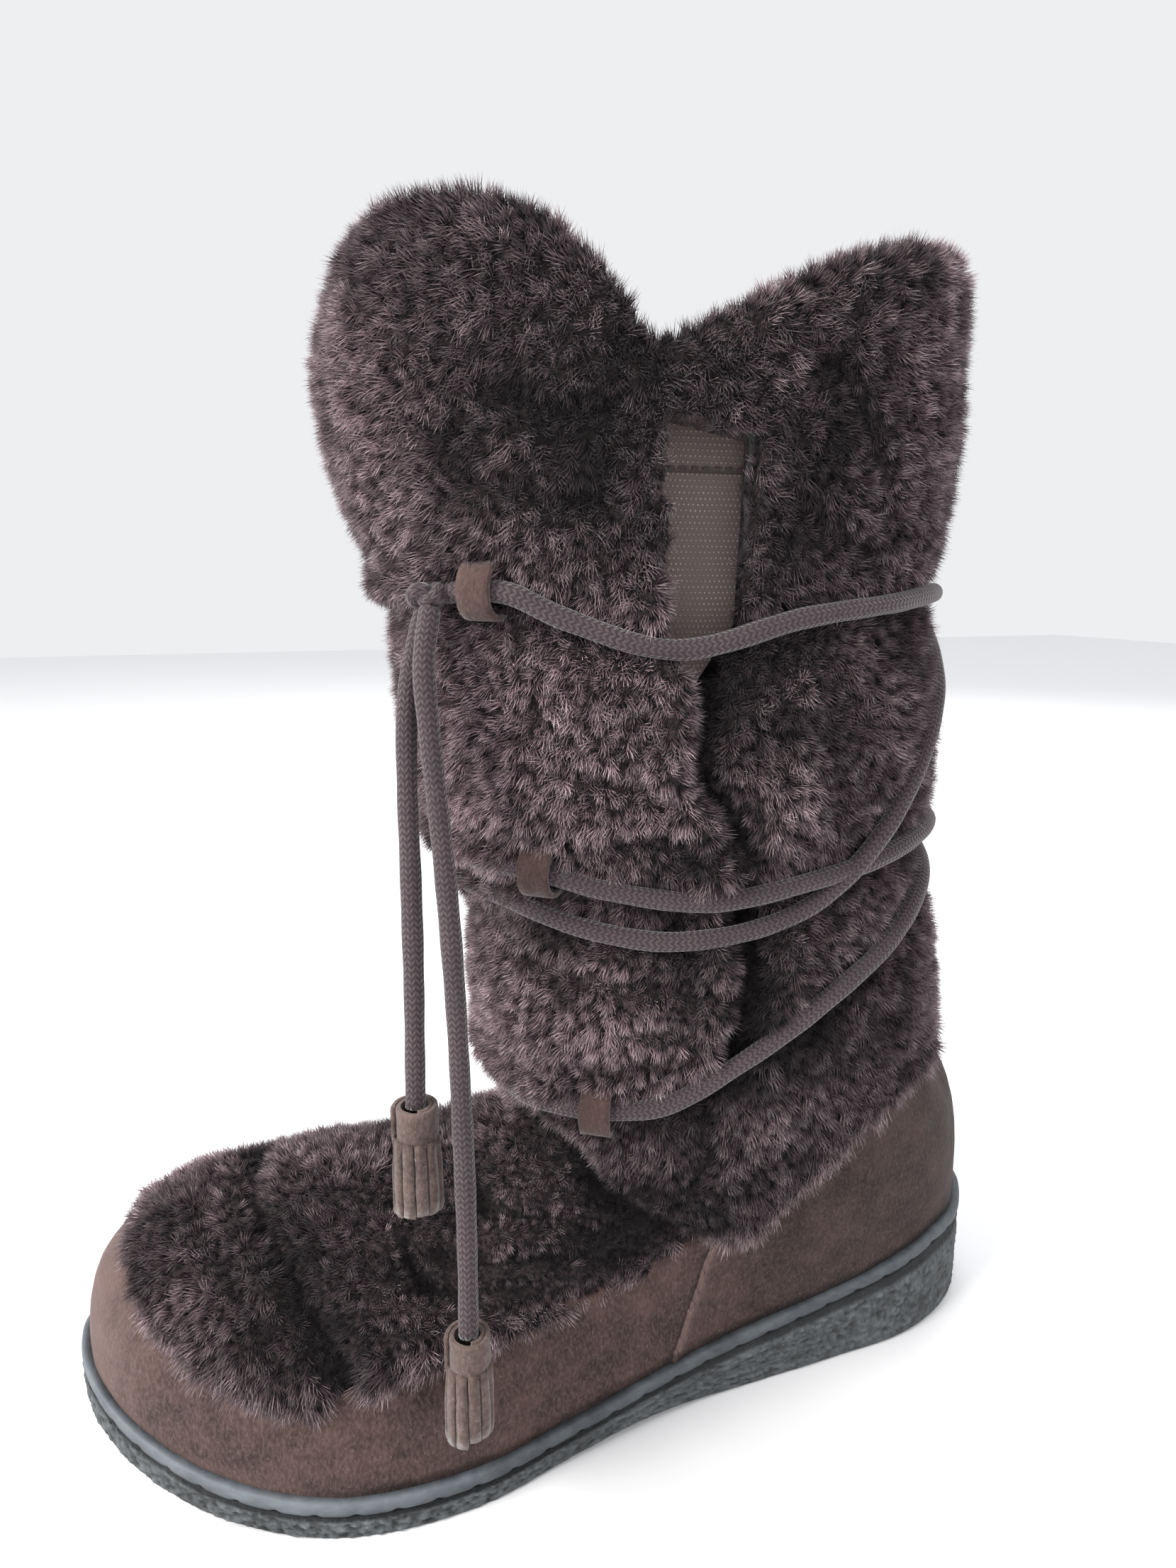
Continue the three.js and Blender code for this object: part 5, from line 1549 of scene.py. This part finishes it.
@dataclass
class Lacing:
    """Braided lace with its knot, its hanging ends and its suede loops. Sizes in millimetres."""

    sides: int = 16
    spacing: float = 1.3
    loop_width: float = 8.0
    strap: float = 1.4
    strap_corner: float = 4.6
    knot: tuple[float, float] = (-61, 226)
    knot_radius: float = 1.9
    knot_lift: float = 6.2
    knot_size: float = 1.05
    loops: tuple[tuple[str, float, float, float], ...] = (
        ("loop_front_top", -50, 227, 15),
        ("loop_front_middle", -48, 162, 15),
        ("loop_front_low", -45, 95, 15),
        ("loop_back_top", 90, 225, 18),
        ("loop_back_middle", 90, 158.5, 18),
    )

    def braid(self, name: str, paths: Sequence[Points], material: bpy.types.Material,
              radius: float = LACE_RADIUS, closed: bool = False) -> bpy.types.Object:
        """Braided lace along one or more paths.

        Args:
            name: Name of the piece.
            paths: Centre lines.
            material: Finish of the braid.
            radius: Radius of the lace.
            closed: Whether the paths close on themselves.

        Returns:
            The lace.
        """
        parts, places = [], []
        for path in paths:
            run = np.arange(len(path)) * self.spacing
            thick = radius * (1 + 0.03 * np.sin(run / 9.0) + 0.02 * np.sin(run / 2.3))
            tube_points, tube_faces, tube_places = tube(path, thick, self.sides, closed)
            parts.append((tube_points, tube_faces))
            places.append(tube_places)
        thing = mesh_object(name, *joined(parts))
        turn, run = np.concatenate(places).T
        set_vectors(thing, "round", np.stack([np.cos(turn), np.sin(turn), run], -1))
        wear(thing, material)
        return thing

    def knot_path(self) -> Points:
        """Small closed overhand turn where the ends leave the wraps."""
        degrees, z = self.knot
        depth = LAST.pile_depth(np.array([degrees]), z)[0] + self.knot_lift
        place = LAST.shaft_point(degrees, z, depth)
        t = np.linspace(0, 2 * np.pi, 40, endpoint=False)
        turns = np.column_stack([np.sin(t) + 2 * np.sin(2 * t), np.cos(t) - 2 * np.cos(2 * t),
                                 -np.sin(3 * t)])
        return place + turns * self.knot_size

    def strap_loop(self, name: str, degrees: float, z: float, height: float,
                   material: bpy.types.Material) -> bpy.types.Object:
        """Suede strap bent over the lace."""
        before, after = LAST.shaft_point(degrees - 3, z, 0), LAST.shaft_point(degrees + 3, z, 0)
        along = (after - before) / np.linalg.norm(after - before)
        out = np.array([along[1], -along[0], 0])
        place = LAST.shaft_point(degrees, z, 0)
        depth = LAST.pile_depth(np.array([float(degrees)]), z)[0]
        reach = depth + LACE_LIFT + 2 * LACE_RADIUS + 0.6 + self.strap / 2
        half = height / 2 - self.strap / 2 - 1.0
        corner = self.strap_corner
        bends = [(1.6, -half), (reach - corner, -half)]
        bends += [(reach - corner + corner * math.sin(a), -half + corner * (1 - math.cos(a)))
                  for a in np.radians([22, 45, 68, 90])]
        bends += [(reach + 0.25, 0)]
        route = np.array(bends + [(r, -h) for r, h in reversed(bends[:-1])])
        steps = np.gradient(route, axis=0)
        steps /= np.linalg.norm(steps, axis=1, keepdims=True)
        across = np.stack([-steps[:, 1], steps[:, 0]], -1) * self.strap / 2
        widths = np.array([-1, -0.96, -0.5, 0, 0.5, 0.96, 1]) * self.loop_width / 2
        thin = np.array([0.55, 1, 1, 1, 1, 1, 0.55])
        ring = [(w, s * t) for w, t, s in ((w, t, 1) for w, t in zip(widths, thin))]
        ring += [(w, -t) for w, t in reversed(list(zip(widths, thin)))]
        rings = []
        for (r, h), side in zip(route, across):
            rings.append([place + out * (r + side[0] * t) + np.array([0, 0, h + side[1] * t]) + along * w
                          for w, t in ring])
        points = np.array(rings).reshape(-1, 3)
        points += 0.18 * noise_vectors(points, 3)
        count = len(ring)
        faces = ring_faces(len(route), count)
        faces.append(tuple(reversed(range(count))))
        faces.append(tuple(range(len(points) - count, len(points))))
        thing = mesh_object(name.replace("loop", "strap"), points, faces)
        recalculated(thing)
        set_values(thing, "wear", np.full(len(points), 0.1))
        wear(thing, material)
        return thing

    def build(self) -> None:
        """Builds the wraps, knot, loops and hanging ends."""
        material = BRAID.make()
        wraps = [rounded_route(LAST.lace_route(rows), self.spacing)
                 for rows in (LACE_OUTER_HALF, LACE_INNER_HALF)]
        seat(self.braid("lace_round_shaft", wraps, material), "lace", "lace_wraps")
        knot = self.braid("lace_half_knot", [self.knot_path()], material, self.knot_radius, True)
        seat(knot, "lace", "lace_knot")
        suede = LOOP_SUEDE.make()
        for name, degrees, z, height in self.loops:
            seat(self.strap_loop(name, degrees, z, height, suede), "loop_suede", name)
        for name, route, extra in (("short", END_SHORT, []), ("long", END_LONG, [knot])):
            path = rounded_route(np.array(route) / MM, self.spacing)
            end = self.braid(f"hanging_lace_{name}", [path], material)
            seat(end, "lace", f"lace_end_{name}")
            tassel = Tassel(f"suede_tassel_{name}", path[-1]).build()
            seat(tassel, "tassel_suede", f"tassel_{name}")
            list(extra)


def recalculated(thing: bpy.types.Object) -> None:
    """Turns the faces of a closed mesh outwards."""
    mesh = bmesh.new()
    mesh.from_mesh(thing.data)
    bmesh.ops.recalc_face_normals(mesh, faces=mesh.faces)
    mesh.to_mesh(thing.data)
    mesh.free()


@dataclass
class Tassel:
    """Rolled suede strip over a fringe of cut strips. Sizes in millimetres."""

    name: str
    top: Points
    radius: float = 5.6
    collar: float = 9.0
    fringe: float = 17.0
    strips: int = 11
    leather: float = 1.1

    def strip(self, angle: float, length: float, lean: float) -> tuple[Points, Faces]:
        """One hanging strip with a slight bow."""
        half = math.pi * (self.radius - 0.8) / self.strips * 0.93
        rows = 7
        points = []
        for i in range(rows):
            share = i / (rows - 1)
            bow = self.radius - 0.5 + lean * share + 0.25 * math.sin(math.pi * share)
            z = -self.collar + 1.5 - share * (length + 1.5)
            wide = half * (1 + 0.10 * share)
            ring = [(bow, -wide), (bow + 0.25, 0), (bow, wide), (bow - self.leather, wide * 0.92),
                    (bow - self.leather, 0), (bow - self.leather, -wide * 0.92)]
            for out, side in ring:
                points.append([out * math.cos(angle) - side * math.sin(angle),
                               out * math.sin(angle) + side * math.cos(angle), z])
        faces = [tuple(reversed(face)) for face in ring_faces(rows, 6)]
        faces += [tuple(range(6)), tuple(reversed(range(len(points) - 6, len(points))))]
        return np.array(points), faces

    def roll(self) -> tuple[Points, Faces]:
        """Strip rolled around the lace, its edge showing as a spiral on top."""
        wound = (self.radius - LACE_RADIUS - self.leather) / (self.leather + 0.1)
        turns = np.linspace(0, 2 * math.pi * wound, 96)
        wide = LACE_RADIUS + self.leather + (self.leather + 0.1) * turns / (2 * math.pi)
        rows = ((0.0, -0.35), (0.0, -0.05), (-0.25, 0.12), (-1.0, 0.2), (-3, 0.15), (-6, 0.15),
                (-self.collar + 0.5, 0.15), (-self.collar, -0.15))
        skins = []
        for edge in (0.0, -0.9):
            for lift, swell in rows if edge == 0 else reversed(rows):
                r = wide + edge + (swell if edge == 0 else 0)
                skins.append(np.column_stack([r * np.cos(turns), r * np.sin(turns),
                                              np.full(len(turns), lift)]))
        count = len(turns)
        points = np.concatenate(skins)
        faces = ring_faces(len(skins), count, closed=False)
        last = (len(skins) - 1) * count
        faces += [(last + k, last + k + 1, k + 1, k) for k in range(count - 1)]
        faces.append(tuple(r * count for r in range(len(skins))))
        faces.append(tuple(r * count + count - 1 for r in reversed(range(len(skins)))))
        return points, faces

    def build(self) -> bpy.types.Object:
        """Builds the tassel under the end of its lace.

        Returns:
            The tassel.
        """
        parts = [self.roll()]
        for k in range(self.strips):
            uneven = math.sin(k * 12.9898 + len(self.name))
            angle = 2 * math.pi * k / self.strips
            parts.append(self.strip(angle, self.fringe + 0.8 * uneven, 0.5 + 0.3 * uneven))
        made, faces = joined(parts)
        made = made + 0.15 * noise_vectors(made, 3)
        thing = mesh_object(self.name, made + self.top + [0, 0, 0.4], faces)
        recalculated(thing)
        rise = made[:, 2]
        tips = -self.collar - self.fringe
        edges = 0.5 * smooth_step(-1.2, 0.2, rise) + 0.4 * smooth_step(tips + 2, tips, rise)
        set_values(thing, "wear", edges)
        wear(thing, TASSEL_SUEDE.make())
        return thing


@dataclass
class StitchRow:
    """Row of small stitches that follows a path. Sizes in millimetres."""

    name: str
    path: Points
    pitch: float = 2.6
    length: float = 1.7
    thread: float = 0.32

    def stitch(self) -> bpy.types.Object:
        """One stitch, lying along X."""
        t = np.linspace(-1, 1, 7)
        path = np.column_stack([t * self.length / 2, 0 * t, 0.35 * (1 - t**2)])
        points, faces, _ = tube(path, self.thread * (1 - 0.35 * t**2), 6)
        return mesh_object("stitch", points, faces)

    def build(self, material: bpy.types.Material) -> bpy.types.Object:
        """Sets the stitches along the path with Geometry Nodes.

        Args:
            material: Finish of the thread.

        Returns:
            The row of stitches.
        """
        stitch = self.stitch()
        edges = [(i, i + 1) for i in range(len(self.path) - 1)]
        mesh = bpy.data.meshes.new("line")
        mesh.from_pydata((self.path * MM).tolist(), edges, [])
        line = bpy.data.objects.new("line", mesh)
        bpy.context.scene.collection.objects.link(line)
        tree = bpy.data.node_groups.new("set_stitches", "GeometryNodeTree")
        tree.interface.new_socket(name="Line", in_out="INPUT", socket_type="NodeSocketGeometry")
        pitch = tree.interface.new_socket(name="Pitch", in_out="INPUT", socket_type="NodeSocketFloat")
        tree.interface.new_socket(name="Stitches", in_out="OUTPUT", socket_type="NodeSocketGeometry")
        graph = Graph(tree)
        inputs = graph.node("NodeGroupInput").socket.node.outputs
        curve = graph.node("GeometryNodeMeshToCurve", {}, {0: Term(graph, inputs[0])})
        even = graph.node("GeometryNodeResampleCurve", {"mode": "LENGTH"},
                          {"Curve": curve, "Length": Term(graph, inputs[1])})
        tangent = graph.node("GeometryNodeInputTangent")
        turned = graph.node("FunctionNodeAlignRotationToVector", {"axis": "X"}, {"Vector": tangent})
        shape = graph.node("GeometryNodeObjectInfo", {}, {"Object": stitch}, "Geometry")
        row = graph.node("GeometryNodeInstanceOnPoints", {}, {
            "Points": even, "Instance": shape, "Rotation": turned})
        real = graph.node("GeometryNodeRealizeInstances", {}, {0: row})
        dressed = graph.node("GeometryNodeSetMaterial", {}, {"Geometry": real, "Material": material})
        graph.node("NodeGroupOutput", {}, {0: dressed})
        setter = line.modifiers.new("setter", "NODES")
        setter.node_group = tree
        setter[pitch.identifier] = self.pitch * MM
        made = baked(line, self.name)
        drop(stitch)
        return made


@dataclass
class ElasticGore:
    """Elastic insert on the outer side, with a row of stitches under its hem."""

    hem: float = GORE_HEM
    front: float = 5.5
    back: float = 24.0

    def build(self) -> None:
        """Dresses the insert and sews its hem."""
        wear(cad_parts["gore"], ELASTIC.make())
        y = np.linspace(self.front, self.back, 20)
        line = np.array([[self.skin_x(value), value, self.hem] for value in y])
        row = StitchRow("hem_stitches", line).build(BRAID.make())
        seat(row, "elastic")

    def skin_x(self, y: float) -> float:
        """Outer face of the insert at the height of the hem."""
        degrees = np.linspace(-60, 60, 241)
        ring = LAST.shaft_point(degrees, self.hem, -0.4)
        return float(np.interp(y, ring[:, 1], ring[:, 0])) + 0.1


@dataclass(frozen=True)
class Studio:
    """Camera, lamps and floor. Sizes in millimetres, angles in degrees."""

    place: tuple[float, float, float] = (254, -77, 230)
    azimuth: float = 86.4
    pitch: float = 17.7
    roll: float = 4.5
    photo_focus: float = 1662
    photo_size: tuple[float, float] = (1659, 2212)
    aim: tuple[float, float] = (1240, 915)
    lens: float = 22.6
    floor_reach: float = 3000
    floor_drop: float = 0.05
    floor_colour: tuple[float, ...] = (0.86, 0.86, 0.87, 1)
    sky_colour: tuple[float, ...] = (0.97, 0.98, 1.0, 1)
    sky_strength: float = 0.88

    def photo_axes(self) -> tuple[Vector, Vector, Vector]:
        """Right, up and backward directions of the photograph's camera."""
        turn, tilt, roll = (math.radians(v) for v in (self.azimuth, self.pitch, self.roll))
        back = Vector((math.sin(turn) * math.cos(tilt), -math.cos(turn) * math.cos(tilt), math.sin(tilt)))
        right = (-back).cross(Vector((0, 0, 1))).normalized()
        up = right.cross(-back)
        rolled = right * math.cos(roll) - up * math.sin(roll)
        return rolled, up * math.cos(roll) + right * math.sin(roll), back

    def camera(self) -> None:
        """Camera at the photograph's place, turned to take in the whole boot."""
        right, up, back = self.photo_axes()
        across = (self.aim[0] - self.photo_size[0] / 2) / self.photo_focus
        down = (self.aim[1] - self.photo_size[1] / 2) / self.photo_focus
        look = (-back + right * across - up * down).normalized()
        level = look.cross(up).normalized()
        rotation = Matrix((level, level.cross(look), -look)).transposed()
        data = bpy.data.cameras.new("camera")
        data.lens = self.lens
        data.sensor_width = 36
        data.clip_start = 0.01
        camera = bpy.data.objects.new("camera", data)
        camera.matrix_world = Matrix.Translation(Vector(self.place) * MM) @ rotation.to_4x4()
        bpy.context.scene.collection.objects.link(camera)
        bpy.context.scene.camera = camera

    def lamp(self, name: str, place: tuple[float, float, float], size: float, power: float,
             warmth: tuple[float, float, float] = (1, 1, 1)) -> None:
        """Square lamp that shines at the boot."""
        data = bpy.data.lights.new(name, "AREA")
        data.size = size
        data.energy = power
        data.color = warmth
        lamp = bpy.data.objects.new(name, data)
        spot = Vector(place)
        aim = Vector((0, 0, 0.14)) - spot
        lamp.matrix_world = Matrix.Translation(spot) @ aim.to_track_quat("-Z", "Y").to_matrix().to_4x4()
        bpy.context.scene.collection.objects.link(lamp)

    def floor(self) -> None:
        """Pale floor."""
        signs = np.array([[-1, -1, 0], [1, -1, 0], [1, 1, 0], [-1, 1, 0]])
        floor = mesh_object("floor", signs * self.floor_reach - [0, 0, self.floor_drop], [(0, 1, 2, 3)])
        material = bpy.data.materials.new("pale_floor")
        material.use_nodes = True
        surface = material.node_tree.nodes["Principled BSDF"]
        surface.inputs["Base Color"].default_value = self.floor_colour
        surface.inputs["Roughness"].default_value = 0.7
        wear(floor, material)

    def build(self) -> None:
        """Sets up the whole studio."""
        self.camera()
        self.floor()
        self.lamp("key", (0.25, -1.3, 0.95), 0.8, 36, (1, 0.98, 0.96))
        self.lamp("fill", (1.3, 0.3, 0.8), 1.4, 6.5)
        self.lamp("back", (-0.9, 0.8, 1.1), 1.2, 12)
        world = bpy.data.worlds.new("studio")
        world.use_nodes = True
        colour, strength = world.node_tree.nodes["Background"].inputs[:2]
        colour.default_value = self.sky_colour
        strength.default_value = self.sky_strength
        bpy.context.scene.world = world
        bpy.context.scene.view_settings.view_transform = "Standard"


@dataclass
class Insole:
    """Footbed inside the upper."""

    finish: HideFinish = FLEECE

    def build(self) -> None:
        """Gives the footbed its fleece."""
        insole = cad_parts["insole"]
        wear(insole, self.finish.make())


def main() -> None:
    """Builds the studio and every piece of the boot in order."""
    logging.basicConfig(level=logging.INFO)
    noise.seed_set(NOISE_SEED)
    Studio().build()
    Lacing().build()
    SoleUnit().build()
    SuedeLower().build()
    PileUpper().build()
    ElasticGore().build()
    Insole().build()


if __name__ == "__main__":
    main()
